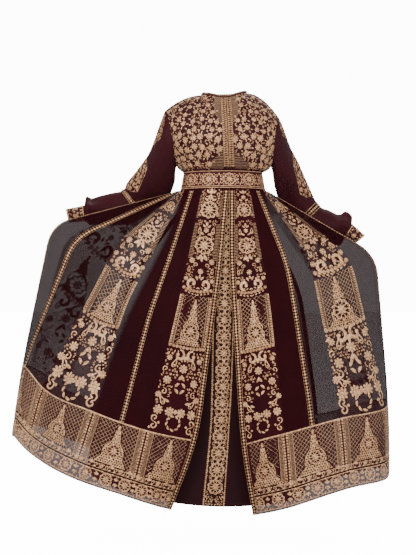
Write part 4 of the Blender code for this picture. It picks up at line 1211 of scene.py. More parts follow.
def embroider_gore(work, start):
    """From the waist down: domes and medallions, a lattice with a tree, and open sprays."""
    bright, fine, dark = work.bright, work.fine, work.dark
    field = gore_field(start)
    long = field.long

    def one(motif, share, across, size, turn=0.0):
        half = field.half(share * long)
        field.sew(bright, motif, across * half, share * long, size * half, turn)

    def pair(motif, share, across, size, turn=0.0):
        half = field.half(share * long)
        field.pair(bright, motif, across * half, share * long, size * half, turn)

    def fill(first, last, spacing, seed, clear, size, near, far):
        """Small stitches between two shares of the half width."""
        field.fill(
            bright, first * long, last * long, spacing, seed, 0.001, clear, size,
            lambda across, down: (across > near * field.half(down)) & (across < far * field.half(down)),
        )

    def ribs(first, last, near, far):
        for rib in np.arange(first * long, last * long, 0.0052):
            for sign in (-1.0, 1.0):
                field.line(fine, sign * np.array([near, far]) * field.half(rib), rib, 0.0015, 0.0003)

    ribs(0.030, 0.125, 0.80, 0.98)
    one(BUD, 0.024, 0.0, 0.50)
    pair(LEAF, 0.020, 0.08, 0.44, -50)
    one(FLOWER, 0.038, 0.0, 0.26)
    pair(LEAF, 0.052, 0.14, 0.42, -58)
    pair(CURL, 0.026, 0.56, 0.42)
    pair(CURL, 0.058, 0.68, 0.36, 170)
    one(MEDALLION, 0.090, 0.0, 0.72)
    pair(DROP, 0.118, 0.76, 0.46, 24)
    fill(0.006, 0.124, 0.0086, 1, 0.0048, 0.82, 0.0, 0.84)

    ribs(0.150, 0.300, 0.70, 0.97)
    one(BUD, 0.160, 0.0, 0.36)
    pair(LEAF, 0.164, 0.06, 0.32, -44)
    one(FLOWER, 0.176, 0.0, 0.20)
    pair(LEAF, 0.194, 0.12, 0.34, -58)
    pair(DROP, 0.192, 0.52, 0.52, 12)
    pair(CURL, 0.150, 0.50, 0.34, 20)
    pair(CURL, 0.208, 0.56, 0.28, 190)
    one(MEDALLION, 0.238, 0.0, 0.66)
    fill(0.138, 0.284, 0.0092, 2, 0.0052, 0.80, 0.0, 0.70)

    pair(LEAF, 0.276, 0.10, 0.46, -148)
    one(LEAF, 0.284, 0.0, 0.40, 180)
    pair(DAISY, 0.304, 0.66, 0.20)
    pair(CURL, 0.320, 0.36, 0.34, 30)
    pair(DROP, 0.352, 0.78, 0.40, 10)
    one(DAISY, 0.346, 0.0, 0.19)
    one(BUD, 0.374, 0.0, 0.24)
    pair(LEAF, 0.366, 0.26, 0.30, 150)
    pair(scroll(0.5, 0.80, 0.26), 0.396, 0.40, 0.72)
    pair(DAISY, 0.380, 0.84, 0.15)
    fill(0.290, 0.400, 0.0100, 4, 0.0054, 0.78, 0.40, 0.97)
    for i, across in enumerate(np.linspace(0.0, 0.86, 5)):
        drop = 0.428 - 0.014 * across * across
        (one if i == 0 else pair)(DAISY, drop, across, 0.115)
        if i:
            pair(LEAF, drop - 0.010, across - 0.11, 0.17, 60)
            pair(LEAF, drop + 0.012, across - 0.08, 0.16, 120)

    top, bottom = 0.446, 0.648
    ribs(top, bottom, 0.80, 0.90)
    down = np.linspace(top * long, bottom * long, 30)
    for across in (0.78, -0.78, 0.97, -0.97):
        field.line(bright, across * field.half(down), down, 0.0014)
    links = np.arange(top * long + 0.004, bottom * long, 0.0082)
    field.pair(bright, LINK, 0.925 * field.half(links), links, 0.0028)

    def spire(down):
        """Half the width of the tree in the lattice."""
        share = (down / long - top) / (bottom - top)
        places = (0.0, 0.10, 0.20, 0.30, 0.42, 0.50, 0.60, 0.74, 0.86, 1.0)
        reach = np.interp(share, places, (0.0, 0.05, 0.10, 0.19, 0.20, 0.28, 0.44, 0.52, 0.50, 0.72))
        return reach * field.half(down)

    field.lattice(
        fine, top * long, bottom * long, 0.0014,
        lambda across, down: (across < 0.76 * field.half(down)) & (across > spire(down) + 0.002),
    )

    one(BUD, 0.478, 0.0, 0.24)
    pair(LEAF, 0.490, 0.03, 0.18, -50)
    one(FLOWER, 0.498, 0.0, 0.10)
    pair(LEAF, 0.516, 0.06, 0.20, -55)
    one(BUD, 0.530, 0.0, 0.24)
    pair(LEAF, 0.536, 0.08, 0.22, -60)
    heart = 0.588
    one(MEDALLION, heart, 0.0, 0.44)
    pair(DAISY, 0.630, 0.38, 0.13)
    form = (top * long + 0.010, bottom * long - 0.002, spire, heart * long)
    field.satin(bright, *form, 0.46 * field.half(heart * long))
    field.pricks(dark, *form, 0.42 * field.half(heart * long))

    for i, across in enumerate(np.linspace(0.0, 0.90, 6)):
        (one if i == 0 else pair)(DAISY, 0.656 - 0.004 * across, across, 0.095)
    pair(scroll(0.5, 0.80, 0.24), 0.688, 0.34, 0.62, 180)
    one(TRIO, 0.690, 0.0, 0.26, 180)
    pair(LEAF, 0.680, 0.82, 0.26, -130)
    pair(DAISY, 0.702, 0.78, 0.15)
    pair(DROP, 0.736, 0.56, 0.44, 30)
    one(DAISY, 0.738, 0.0, 0.22)
    pair(CURL, 0.748, 0.84, 0.30, 20)
    pair(LEAF, 0.766, 0.03, 0.26, -150)
    one(LEAF, 0.762, 0.0, 0.24, 180)
    pair(DAISY, 0.790, 0.66, 0.20)
    pair(LEAF, 0.812, 0.24, 0.28, 44)
    pair(LEAF, 0.820, 0.24, 0.28, 136)
    pair(CURL, 0.836, 0.70, 0.32, 160)
    pair(DAISY, 0.852, 0.90, 0.15)
    pair(DROP, 0.886, 0.60, 0.40, -20)
    pair(LEAF, 0.872, 0.36, 0.26, -70)
    for across in (0.26, 0.76):
        pair(DAISY, 0.910, across, 0.215)
    one(BUD, 0.918, 0.0, 0.22)
    for turn in range(0, 360, 40):
        lean = math.radians(turn)
        place = 0.952 - 0.26 * math.cos(lean) * field.half(0.952 * long) / long
        one(LEAF, place, 0.26 * math.sin(lean), 0.20, 90.0 - turn)
    pair(CURL, 0.944, 0.82, 0.34)
    pair(CURL, 0.974, 0.82, 0.34, 180)
    pair(DOT, 0.959, 0.62, 0.06)
    fill(0.662, 0.778, 0.0108, 7, 0.0060, 0.76, 0.10, 0.97)
    fill(0.778, 0.895, 0.0112, 8, 0.0062, 0.76, 0.40, 0.97)
    fill(0.925, 0.992, 0.0112, 9, 0.0062, 0.76, 0.66, 0.97)


def embroider_border(work, start):
    """One gore's length of the hem border, with the pilaster at its first edge."""
    bright, fine, dark = work.bright, work.fine, work.dark
    field = Field(OVERSKIRT, float(start), float(start + 1), BORDER_LEVEL, 1.0)
    long = field.long
    scale = long / 0.240
    lattice_end, line_at, band_at = 0.156 * scale, 0.179 * scale, 0.205 * scale

    def spire(down):
        """Half the width of the spire, a finial over a round body on a flared foot."""
        share = (down - 0.012) / (lattice_end - 0.012)
        places = (0.0, 0.12, 0.30, 0.42, 0.55, 0.68, 0.80, 0.90, 1.0)
        return np.interp(share, places, (0.000, 0.007, 0.012, 0.015, 0.031, 0.037, 0.036, 0.045, 0.058))

    field.lattice(
        fine, 0.005, lattice_end, 0.0013,
        lambda across, down: (across < field.half(down) - 0.024) & (across > spire(down) + 0.002),
    )
    body = 0.104 * scale
    field.sew(bright, MEDALLION, 0.0, body, 0.0240)
    field.sew(bright, BUD, 0.0, 0.030, 0.0180)
    field.pair(bright, LEAF, 0.001, 0.036, 0.0110, -42)
    field.sew(bright, FLOWER, 0.0, 0.044, 0.0072)
    field.pair(bright, LEAF, 0.004, 0.056, 0.0110, -52)
    field.sew(bright, BUD, 0.0, 0.068, 0.0150)
    field.pair(bright, LEAF, 0.006, 0.072, 0.0115, -60)
    field.pair(bright, DAISY, 0.0210, body + 0.028, 0.0075)
    field.pair(bright, CURL, 0.0400, body + 0.037, 0.0160, 20)
    form = (0.020, lattice_end - 0.002, spire, body)
    field.satin(bright, *form, 0.0250)
    field.pricks(dark, *form, 0.0240)

    reach = field.half(lattice_end) - 0.002
    count = max(4, int(round(2 * reach / 0.0165)))
    for i, across in enumerate(np.linspace(-reach + 0.006, reach - 0.006, count)):
        kind = (DAISY, CURL, TRIO, CURL)[i % 4]
        size = (0.0082, 0.015, 0.013, 0.015)[i % 4]
        field.sew(bright, kind, across, 0.165 * scale, size, 0.0, i % 4 == 3)
        field.sew(bright, LEAF, across + 0.007, 0.174 * scale, 0.010, -70)
        field.sew(bright, DOT, across + 0.008, 0.161 * scale, 0.0022)

    ends = np.linspace(0.0, 1.0, 18)

    def along(down, width, thread, lift=0.0):
        half = field.half(down)
        field.line(thread, -half + 2 * half * ends, down, width, 0.0005, lift)

    along(0.0022, 0.0042, bright, 0.0006)
    along(line_at, 0.0030, dark, 0.0004)
    along(line_at - 0.0035, 0.0014, fine)
    along(line_at + 0.0040, 0.0020, bright)
    along(0.232 * scale, 0.0020, bright)

    half = field.half(band_at)
    count = max(1, int(round(2 * half / 0.062)))
    step = 2 * half / count
    places = -half + step * (np.arange(count) + 0.5)
    field.sew(bright, MEDALLION, places, band_at, 0.0210)
    between = -half + step * np.arange(1, count + 1)
    field.sew(bright, TRIO, between, band_at - 0.004, 0.012)
    field.sew(bright, TRIO, between, band_at + 0.004, 0.012, 180)
    field.fill(bright, band_at - 0.021, band_at + 0.024, 0.0098, 6, 0.001, 0.0054, 0.80)

    if start == 0:
        return
    pilaster = Field(OVERSKIRT, start - 0.3, start + 0.3, BORDER_LEVEL, 1.0)
    down = np.linspace(0.004, lattice_end + 0.016, 24)
    for across in (0.0112, -0.0112, 0.0236, -0.0236):
        pilaster.line(bright, across, down, 0.0014)
    links = np.arange(0.008, lattice_end + 0.014, 0.0090)
    pilaster.pair(bright, LINK, 0.0056, links, 0.0034)
    pilaster.sew(dark, DASH, 0.0, links, 0.0022)
    for rib in np.arange(0.006, lattice_end + 0.014, 0.0040):
        for sign in (-1.0, 1.0):
            pilaster.line(fine, sign * np.array([0.0125, 0.0225]), rib, 0.0013, 0.0003)


def trim_chain(work, field, width):
    """Gold band work: a chain of raised diamonds between two edge lines."""
    bright, dark = work.bright, work.dark
    for thread in (bright, dark):
        thread.lift += TRIM_LIFT
    down = np.linspace(0.0, field.long, max(12, int(field.long / 0.010)))
    for sign in (-1.0, 1.0):
        field.line(bright, sign * (width / 2 - 0.0006), down, 0.0012, 0.0005)
    links = np.arange(CHAIN_PITCH / 2, field.long, CHAIN_PITCH)
    field.sew(bright, LINK, 0.0, links, CHAIN_PITCH * 0.37, 45.0)
    notches = links[:-1] + CHAIN_PITCH / 2
    field.pair(dark, DASH, width * 0.30, notches, 0.0054, 45.0, 0.0009)


def four_sided(reach, height):
    """A raised square stitch with a flat top."""
    low = [(-reach, -reach, 0.0), (reach, -reach, 0.0), (reach, reach, 0.0), (-reach, reach, 0.0)]
    high = [(x * 0.62, y * 0.62, height) for x, y, z in low]
    sides = [(i, (i + 1) % 4, (i + 1) % 4 + 4) for i in range(4)]
    sides += [(i, (i + 1) % 4 + 4, i + 4) for i in range(4)]
    return Motif(np.array(low + high), np.array(sides + [(4, 5, 6), (4, 6, 7)]))


LINK = four_sided(0.86, 0.0007)
DASH = four_sided(0.5, 0.0004)
BELT_ROSETTES = 11
FIRST_ROSETTE = 2 * math.pi - 0.125
BELT_MIDDLE = 0.48


def embroider_belt(bright):
    """Rosettes all round, with pairs of curls and leaves between them."""
    around = np.linspace(0.0, 2 * math.pi, 721)
    run = lengths_along(BELT.at(around, 0.5), 0)
    step = run[-1] / BELT_ROSETTES
    places = np.interp(FIRST_ROSETTE, around, run) + step * np.arange(BELT_ROSETTES)
    angles = np.interp(np.mod(places, run[-1]), run, around)
    between = np.interp(np.mod(places + step / 2, run[-1]), run, around)

    def ring(motif, angles, right, up, size, turn=0.0, flip=False):
        level = np.full_like(angles, BELT_MIDDLE)
        right, up = np.full_like(angles, right), np.full_like(angles, up)
        across, down = BELT.steps(angles, level, right, up)
        bright.sew(BELT, motif, angles + across, level + down, size, turn, flip)

    ring(MEDALLION, angles, 0.0, 0.0, 0.0206)
    ring(BEAD, angles, 0.0, 0.0, 0.0028)
    for sign, flip in ((1.0, False), (-1.0, True)):
        ring(CURL, between, sign * 0.0080, 0.0092, 0.0160, 0.0, flip)
        ring(CURL, between, sign * 0.0080, -0.0092, 0.0160, 180.0, not flip)
        ring(LEAF, between, sign * 0.0030, 0.0, 0.0110, -sign * 90.0, flip)
        ring(DOT, between, sign * 0.0166, 0.0176, 0.0022)
        ring(DOT, between, sign * 0.0166, -0.0176, 0.0022)
        ring(LEAF, between, 0.0, sign * 0.0120, 0.0090, 90.0 - sign * 90.0, flip)


def plain_net(x, z):
    """Where the bodice's front keeps its net plain or ribbed, beside the placket."""
    off = x - opening_x(z)
    reach = np.abs(off)
    upper = (z > -0.112) & (reach < PLACKET_WIDTH + 0.024 * smooth_step((z + 0.118) / 0.055))
    lower = (z < -0.186) & (reach < PLACKET_WIDTH + 0.052 * smooth_step((-0.186 - z) / 0.060))
    return upper | lower


def embroider_placket():
    """Two rows of small gold squares beside the opening, and a dark line down it."""
    work = Work("placket", "gold_trim")
    for thread in (work.bright, work.dark):
        thread.lift += TRIM_LIFT
    low, high = 0.045, 0.985
    fine = np.linspace(low, high, 60)
    for sign in (-1.0, 1.0):
        for off in (0.0022, PLACKET_WIDTH - 0.0009):
            work.bright.line(BODICE["front"], front_angle(sign * off, fine), fine, 0.0014, 0.0005)
        for off in (0.0059, 0.0123):
            column = lambda level, off=off: front_angle(sign * off, level)
            places = spaced_down(BODICE["front"], column, low, high, 0.0078)
            work.bright.sew(BODICE["front"], LINK, *places, 0.0025)
            work.dark.sew(BODICE["front"], DOT, *places, 0.0007, lift=0.0006)
    work.dark.line(BODICE["front"], front_angle(0.0, fine), fine, 0.0022, 0.0004)
    work.finish()


def embroider_bodice(work, face):
    """Flowers and leaves all over, with plain and ribbed net left beside the placket."""
    bright, fine = work.bright, work.fine
    surface = BODICE[face]
    quarter = math.pi / 2

    def seen_at(across, down):
        """Where a place lies as seen from the front, sideways and in height."""
        point = surface.at(across, down)
        return point[..., 0], point[..., 2]

    def wanted(across, down):
        x, z = seen_at(across, down)
        keep = np.abs(across) < quarter * 0.975
        if face == "front":
            clear = np.abs(x - opening_x(z)) > PLACKET_WIDTH + 0.003
            keep = keep & ~plain_net(x, z) & clear
        return keep

    def ribbed(across, down):
        x, z = seen_at(across, down)
        clear = np.abs(x - opening_x(z)) > PLACKET_WIDTH + 0.001
        return plain_net(x, z) & clear & (z < -0.18)

    def netted(across, down):
        x, z = seen_at(across, down)
        return plain_net(x, z) & ~ribbed(across, down) & (z > -0.16)

    across, down, rng = scattered(surface, -quarter, quarter, 0.03, 0.985, 0.0310, 11, wanted)
    size = np.where(seen_at(across, down)[1] < -0.14, 0.0112, 0.0090)
    bright.sew(surface, DAISY, across, down, size, rng.uniform(0, 45, len(across)))
    flowers = surface.at(across, down)
    for turn in (35.0, 155.0, 275.0):
        spin = turn + rng.uniform(-25, 25, len(across))
        right, up = -np.sin(np.radians(spin)) * size * 1.25, np.cos(np.radians(spin)) * size * 1.25
        go_across, go_down = surface.steps(across, down, right, up)
        bright.sew(surface, LEAF, across + go_across, down + go_down, 0.0100, spin)
        reach = (size * 1.25 + 0.0050) / (size * 1.25)
        flowers = np.concatenate((flowers, surface.at(across + go_across * reach, down + go_down * reach)))

    def clear_of_flowers(across, down):
        point = surface.at(across, down)
        gaps = [np.min(np.sum((flowers - place) ** 2, axis=1)) for place in point]
        return wanted(across, down) & (np.array(gaps) > 0.0096**2)

    beside = lambda across, down: clear_of_flowers(across, down) & (np.abs(across) > 1.02)
    ahead = lambda across, down: clear_of_flowers(across, down) & (np.abs(across) <= 1.02)
    fill_ground(bright, surface, -quarter, quarter, 0.02, 0.99, 0.0102, 5, ahead, 0.86)
    fill_ground(fine, surface, -quarter, quarter, 0.02, 0.99, 0.0088, 6, beside, 0.92)
    if face == "front":
        fill_ribs(fine, surface, -0.6, 0.7, 0.02, 0.42, 0.0054, ribbed, 0.0014)
        fill_ribs(fine, surface, -0.6, 0.7, 0.42, 0.99, 0.0030, netted, 0.0010)


# The drop-shaped panel above the elbow: how far it reaches round to the front, in turns,
# at shares of its length
DROP_SHARES = (0.0, 0.12, 0.25, 0.50, 0.75, 0.92, 1.0)
DROP_TURNS = (0.036, 0.125, 0.158, 0.190, 0.218, 0.168, 0.060)


def embroider_sleeve(work, side):
    """A strip over the shoulder's edge, a drop-shaped panel above the elbow, and the cuff."""
    bright, dark = work.bright, work.dark
    surface = SLEEVE[side]
    drop_top, drop_bottom = 2.35, 4.55

    def turned(turn):
        return np.mod(turn + 0.5, 1.0) - 0.5

    def inside_drop(turn, run):
        share = (run - drop_top) / (drop_bottom - drop_top)
        front = np.interp(share, DROP_SHARES, DROP_TURNS)
        return (turned(turn) < front) & (turned(turn) > -0.6 * front) & (share > 0.0) & (share < 1.0)

    def inside_strip(turn, run):
        front = np.interp(run, (0.05, 0.30, 1.10, 2.00), (0.060, 0.115, 0.155, 0.010))
        return (turned(turn) < front) & (turned(turn) > -0.050) & (run > 0.10) & (run < 2.0)

    fill_ground(bright, surface, -0.2, 0.3, 0.1, 2.05, 0.0104, 21, inside_strip, 0.78)
    fill_ground(bright, surface, -0.2, 0.3, 2.1, 4.6, 0.0132, 22, inside_drop, 0.62)
    across, down, rng = scattered(surface, -0.15, 0.25, 2.3, 4.5, 0.024, 9, inside_drop)
    bright.sew(surface, DAISY, across, down, 0.0075, rng.uniform(0, 45, len(across)))
    rim = np.linspace(0.0, 1.0, 24)
    for sign in (1.0, -0.6):
        edge = sign * np.interp(rim, DROP_SHARES, DROP_TURNS)
        bright.line(surface, edge, drop_top + rim * (drop_bottom - drop_top), 0.0014)

    bright.lift += TRIM_LIFT
    around = np.linspace(0.0, 1.0, 90)
    for run in (4.83, 5.17):
        bright.line(surface, around, run, 0.0016)
    places = spaced(surface, 5.0, 0.0, 1.0, 0.0094)
    bright.sew(surface, LINK, places, 5.0, 0.0036, 45.0)
    notches = places + 0.5 / len(places)
    for run in (4.90, 5.10):
        dark.sew(surface, DASH, notches, run, 0.0050, 45.0, lift=TRIM_LIFT + 0.0009)
    bright.lift -= TRIM_LIFT

    for run in (10.07, 10.93):
        bright.line(surface, around, run, 0.0030)
        places = spaced(surface, run, 0.0, 1.0, 0.0070)
        bright.sew(surface, BEAD, places, run, 0.0023, lift=0.0006)
    everywhere = lambda turn, run: (run > 10.12) & (run < 10.88)
    fill_ground(bright, surface, 0.0, 1.0, 10.1, 10.9, 0.0136, 31, everywhere, 0.66)
    places = spaced(surface, 10.5, 0.0, 1.0, 0.0300)
    bright.sew(surface, DAISY, places, 10.5, 0.0090)


# The inner skirt's front panel: how far apart its rosettes lie, and how far its edge
# lines keep from its middle
ROSETTE_PITCH = 0.0545
PANEL_LINE = 0.0318


def embroider_panel(work):
    """The inner skirt's front panel: rosettes one below another between scalloped edges."""
    bright = work.bright
    field = Field(INNER, panel_edge(-1.0), panel_edge(1.0), 0.012, 0.998)
    places = np.arange(0.0280, field.long - 0.020, ROSETTE_PITCH)
    field.sew(bright, MEDALLION, 0.0, places, 0.0245)
    field.sew(bright, BEAD, 0.0, places, 0.0028)
    between = places[:-1] + ROSETTE_PITCH / 2
    field.pair(bright, CURL, 0.0180, between - 0.0050, 0.0125, 20)
    field.pair(bright, CURL, 0.0180, between + 0.0050, 0.0125, 160)
    field.sew(bright, FLOWER, 0.0, between, 0.0045)
    field.fill(bright, 0.004, field.long - 0.003, 0.0088, 8, 0.0060, 0.0052, 0.80)
    down = np.linspace(0.0, field.long, 140)
    for across in (PANEL_LINE, -PANEL_LINE):
        field.line(bright, across, down, 0.0018)
    dots = np.arange(0.003, field.long, 0.0062)
    field.pair(bright, DOT, 0.0340, dots, 0.0021)


def fill_ribs(fine, surface, first, last, top, bottom, pitch, wanted, width):
    """Horizontal ribs over the parts of an area where the net is ribbed."""
    places = np.linspace(first, last, 160)
    for row in spaced_down(surface, (first + last) / 2, top, bottom, pitch)[1]:
        for start, end in stretches(wanted(places, row)):
            fine.line(surface, places[start : end + 1], row, width, 0.0003)


class Work:
    """The three threads of one embroidered piece, made into scene pieces together."""

    def __init__(self, name, slot):
        self.name = name
        self.slot = slot
        self.bright = Embroidery(0.0002)
        self.fine = Embroidery(0.0001)
        self.dark = Embroidery(0.0003)

    def finish(self):
        for kind, look in (("bright", "thread"), ("fine", "fine thread"), ("dark", "dark thread")):
            work = getattr(self, kind)
            if work.points:
                work.piece(f"{self.name}_{kind}_stitches", look, self.slot)


def make_bodice():
    level = (0.0, 1.0, 56)
    quarter = math.pi / 2
    middle = lambda level: front_angle(0.0, level)
    for side, first, last in (("right", -quarter, middle), ("left", middle, quarter)):
        made = add_cloth(
            f"bodice_front_cloth_{side}", BODICE["front"], *both_ways(first, last, 32, *level),
            "ground", "embroidered_cloth", "draped",
        )
        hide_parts(f"bodice_front_{side}")
    made = add_cloth(
        "bodice_back_cloth", BODICE["back"], *both_ways(-quarter, quarter, 64, *level),
        "ground", "embroidered_cloth", "draped",
    )
    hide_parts("bodice_back")
    for side, near, far in (("right", -PLACKET_WIDTH, 0.0), ("left", 0.0, PLACKET_WIDTH)):
        first = lambda level, near=near: front_angle(near, level)
        last = lambda level, far=far: front_angle(far, level)
        made = add_cloth(
            f"placket_band_{side}", BODICE["front"], *both_ways(first, last, 4, 0.04, 0.992, 72),
            "band", "gold_trim", "stretched", TRIM_LIFT, TRIM,
        )
        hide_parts(f"placket_trim_{side}")
    around = np.linspace(0.0, 2 * math.pi, 145)[None, :]
    made = add_cloth(
        "neck_binding_cloth", NECK, around, np.linspace(-NECK_BINDING_OVERLAP, 1.0, 7)[:, None],
        "binding", "binding",
    )
    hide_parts("neck_binding")
    beads = Work("neck_binding", "binding")
    places = spaced(NECK, 0.5, 0.0, 2 * math.pi, 0.0062)
    beads.bright.sew(NECK, BEAD, places, 0.5, 0.0018)
    beads.finish()
    embroider_placket()
    for face in ("front", "back"):
        work = Work(f"bodice_{face}", "embroidered_cloth")
        embroider_bodice(work, face)
        work.finish()


def make_belt():
    around = np.linspace(0.0, 2 * math.pi, 181)[None, :]
    made = add_cloth(
        "belt_cloth", BELT, around, np.linspace(0.0, 1.0, 9)[:, None],
        "belt", "belt_cloth", "stretched", 0.0, 0.0022,
    )
    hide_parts("belt")
    fine = np.linspace(0.0, 2 * math.pi, 481)[:-1]
    for name, drops in (("top", (0.030,)), ("bottom", (0.880, 0.972))):
        for number, drop in enumerate(drops, 1):
            line = BELT.at(fine, drop, CORD_LIFT)
            made = add_cord(f"belt_cord_{name}_{number}", line)
            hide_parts(f"belt_piping_{name}")
    work = Work("belt", "belt_cloth")
    embroider_belt(work.bright)
    work.finish()


def make_sleeves():
    around = np.linspace(0.0, 1.0, 61)[None, :]
    for side in ("right", "left"):
        surface = SLEEVE[side]
        for name, first, last, rows, look, slot, held in (
            ("upper_sleeve", 0.0, 5.0, 42, "sleeve", "sheer_cloth", "draped"),
            ("lower_sleeve", 5.0, 10.0, 44, "sleeve", "sheer_cloth", "gathered"),
            ("cuff", 10.0, 11.0, 12, "ground", "embroidered_cloth", "stretched"),
        ):
            run = np.linspace(first, last, rows + 1)[:, None]
            turns = np.linspace(0.0, 1.0, 109 if name == "lower_sleeve" else 73)[None, :]
            made = add_cloth(f"{name}_cloth_{side}", surface, turns, run, look, slot, held)
            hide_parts(f"{name}_{side}")
        made = add_cloth(
            f"elbow_band_cloth_{side}", surface, around, np.linspace(4.8, 5.2, 5)[:, None],
            "band", "gold_trim", "stretched", TRIM_LIFT, TRIM,
        )
        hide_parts(f"elbow_band_{side}")
        work = Work(f"sleeve_{side}", "embroidered_cloth")
        embroider_sleeve(work, side)
        work.finish()


def mark_backed(made):
    """Notes on each point of a gore whether the inner skirt lies behind it."""
    count = len(made.data.vertices)
    points = np.empty(3 * count, np.float32)
    made.data.vertices.foreach_get("co", points)
    x, z = points[0::3], points[2::3]
    reach = np.where(
        x > 0,
        np.interp(-z, -INNER_HOOP.left_z[:, 0], INNER_HOOP.left[:, 0]),
        np.interp(-z, -INNER_HOOP.right_z[:, 0], INNER_HOOP.right[:, 0]),
    )
    backed = smooth_step((reach - np.abs(x)) / BACKED_FADE + 0.5)
    data = made.data.attributes.new("backed", "FLOAT", "POINT").data
    data.foreach_set("value", backed.astype(np.float32))


def make_gores():
    for start in range(GORES):
        worked = start % 2 == 0
        kind = "worked" if worked else "plain"
        number = start // 2 + 1
        grid = both_ways(start + 0.001, start + 0.999, 16, 0.0, BORDER_LEVEL - 0.0004, 72)
        made = add_cloth(
            f"{kind}_gore_cloth_{number}", OVERSKIRT, *grid,
            "net" if worked else "sheer",
            "embroidered_cloth" if worked else "sheer_cloth", "hung",
        )
        mark_backed(made)
        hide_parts(f"{kind}_gore_{number}")
        if worked:
            work = Work(f"worked_gore_{number}", "embroidered_cloth")
            embroider_gore(work, start)
            work.finish()


def add_band(name, edges, bottom, rows):
    """The cloth of a gold band that runs down the overskirt between two edges."""
    return add_cloth(
        name, OVERSKIRT, *both_ways(*edges, 4, TRIM_LEVEL, bottom, rows),
        "band", "gold_trim", "hung", TRIM_LIFT, TRIM,
    )


def embroider_band(name, edges, bottom, width):
    work = Work(name, "gold_trim")
    trim_chain(work, Field(OVERSKIRT, *edges, TRIM_LEVEL, bottom), width)
    work.finish()


def make_skirt_trims():
    for number in range(1, PLAIN_GORES + 1):
        middle = 2 * number - 0.5
        edges = (beside_line(middle, -GORE_TRIM_WIDTH / 2), beside_line(middle, GORE_TRIM_WIDTH / 2))
        made = add_band(f"gore_band_{number}", edges, BORDER_LEVEL, 90)
        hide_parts(f"gore_trim_{number}")
        embroider_band(f"gore_band_{number}", edges, BORDER_LEVEL, GORE_TRIM_WIDTH)
    for side, place, near, far in (
        ("right", 0.0, 0.0, FRONT_TRIM_WIDTH),
        ("left", float(GORES), -FRONT_TRIM_WIDTH, 0.0),
    ):
        edges = (beside_line(place, near), beside_line(place, far))
        made = add_band(f"front_edge_band_{side}", edges, 1.0, 120)
        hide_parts(f"front_edge_trim_{side}")
        embroider_band(f"front_edge_band_{side}", edges, 1.0, FRONT_TRIM_WIDTH)


def make_fold_lines():
    """A fine dotted line down each side's upper fold, from the waist to the sleeve."""
    for side, place in (("right", 3.72), ("left", 11.36)):
        work = Work(f"upper_fold_{side}", "gold_trim")
        level = np.linspace(0.01, 0.62, 70)
        work.fine.line(OVERSKIRT, place, level, 0.0008)
        dots = spaced_down(OVERSKIRT, place, 0.01, 0.62, 0.0068)
        work.bright.sew(OVERSKIRT, DOT, *dots, 0.0016, lift=0.0003)
        work.finish()


def make_hem_border():
    names = ("front_right", "back_right", "back_left", "front_left")
    for name, low, high in zip(names, BORDER_CUTS, BORDER_CUTS[1:]):
        grid = both_ways(low, high, int(60 * (high - low) / 4), BORDER_LEVEL, 1.0, 22)
        made = add_cloth(
            f"hem_border_cloth_{name}", OVERSKIRT, *grid, "ground", "border_cloth", "hung"
        )
        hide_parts(f"hem_border_{name}")
    for start in range(GORES):
        work = Work(f"hem_border_{start + 1}", "border_cloth")
        embroider_border(work, start)
        work.finish()


def make_inner_skirt():
    right_edge, left_edge = panel_edge(-1.0), panel_edge(1.0)
    half, whole = math.pi, 2 * math.pi
    front, back = INNER_FRONT_SEAM, INNER_BACK_SEAM
    for name, first, last, columns, slot in (
        ("panel", left_edge, right_edge, 12, "panel_cloth"),
        ("front_right", right_edge, front, 20, "skirt_lining"),
        ("side_right", front, half - back, 46, "skirt_lining"),
        ("back", half - back, half + back, 40, "skirt_lining"),
        ("side_left", half + back, whole - front, 46, "skirt_lining"),
        ("front_left", whole - front, lambda level: whole + left_edge(level), 20, "skirt_lining"),
    ):
        grid = both_ways(first, last, columns, 0.0, 1.0, 60)
        made = add_cloth(f"inner_skirt_cloth_{name}", INNER, *grid, "lining", slot, "hung")
        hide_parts(f"inner_skirt_{name}")
    work = Work("inner_skirt_panel", "panel_cloth")
    embroider_panel(work)
    work.finish()


def colour_setting(name, description, default):
    return FloatVectorProperty(
        name=name, description=description, default=default, subtype="COLOR", min=0.0, max=1.0
    )


class KaftanColours(bpy.types.PropertyGroup):
    """Colours of the cloth and the threads, and how much the gores hide."""

    cloth: colour_setting(
        "Cloth", "Colour of the sheer cloth and of the embroidery's ground", (0.0400, 0.0017, 0.0052)
    )
    lining: colour_setting(
        "Inner skirt", "Colour of the opaque inner skirt and of the neck binding", (0.0170, 0.0008, 0.0022)
    )
    belt: colour_setting("Belt", "Colour of the belt's ground", (0.0620, 0.0060, 0.0110))
    # The two gold thread tones lie far apart. That is partly the thread's own tone, and partly painted
    # shade at the darker tone and painted highlight at the pale tone.
    thread: colour_setting(
        "Gold thread", "Darker tone of the gold embroidery thread", (0.350, 0.139, 0.054)
    )
    pale_thread_and_highlight: colour_setting(
        "Pale gold thread", "Lighter tone of the gold embroidery thread", (0.880, 0.522, 0.270)
    )
    piping: colour_setting("Piping", "Colour of the twisted cords at the belt", (0.46, 0.22, 0.09))
    sheerness: FloatProperty(
        name="Plain gores' cover",
        description="How much one face of a plain gore hides where only air is behind it",
        default=0.43,
        min=0.05,
        max=1.0,
        subtype="FACTOR",
    )


class StudioSizes(bpy.types.PropertyGroup):
    """The floor, the lights and the camera."""

    floor_height: FloatProperty(
        name="Floor height",
        description="Height of the studio floor",
        default=-1.51,
        unit="LENGTH",
    )
    paper_glow: FloatProperty(
        name="Paper glow",
        description="How brightly the paper glows where the camera sees it directly",
        default=14.0,
        min=0.0,
        max=30.0,
    )
    lens: FloatProperty(
        name="Lens",
        description="Focal length of the camera in millimetres",
        default=85.85,
        min=20.0,
        max=300.0,
    )
    distance: FloatProperty(
        name="Camera distance",
        description="How far the camera stands in front of the shoulders",
        default=4.5,
        unit="LENGTH",
        min=1.0,
    )


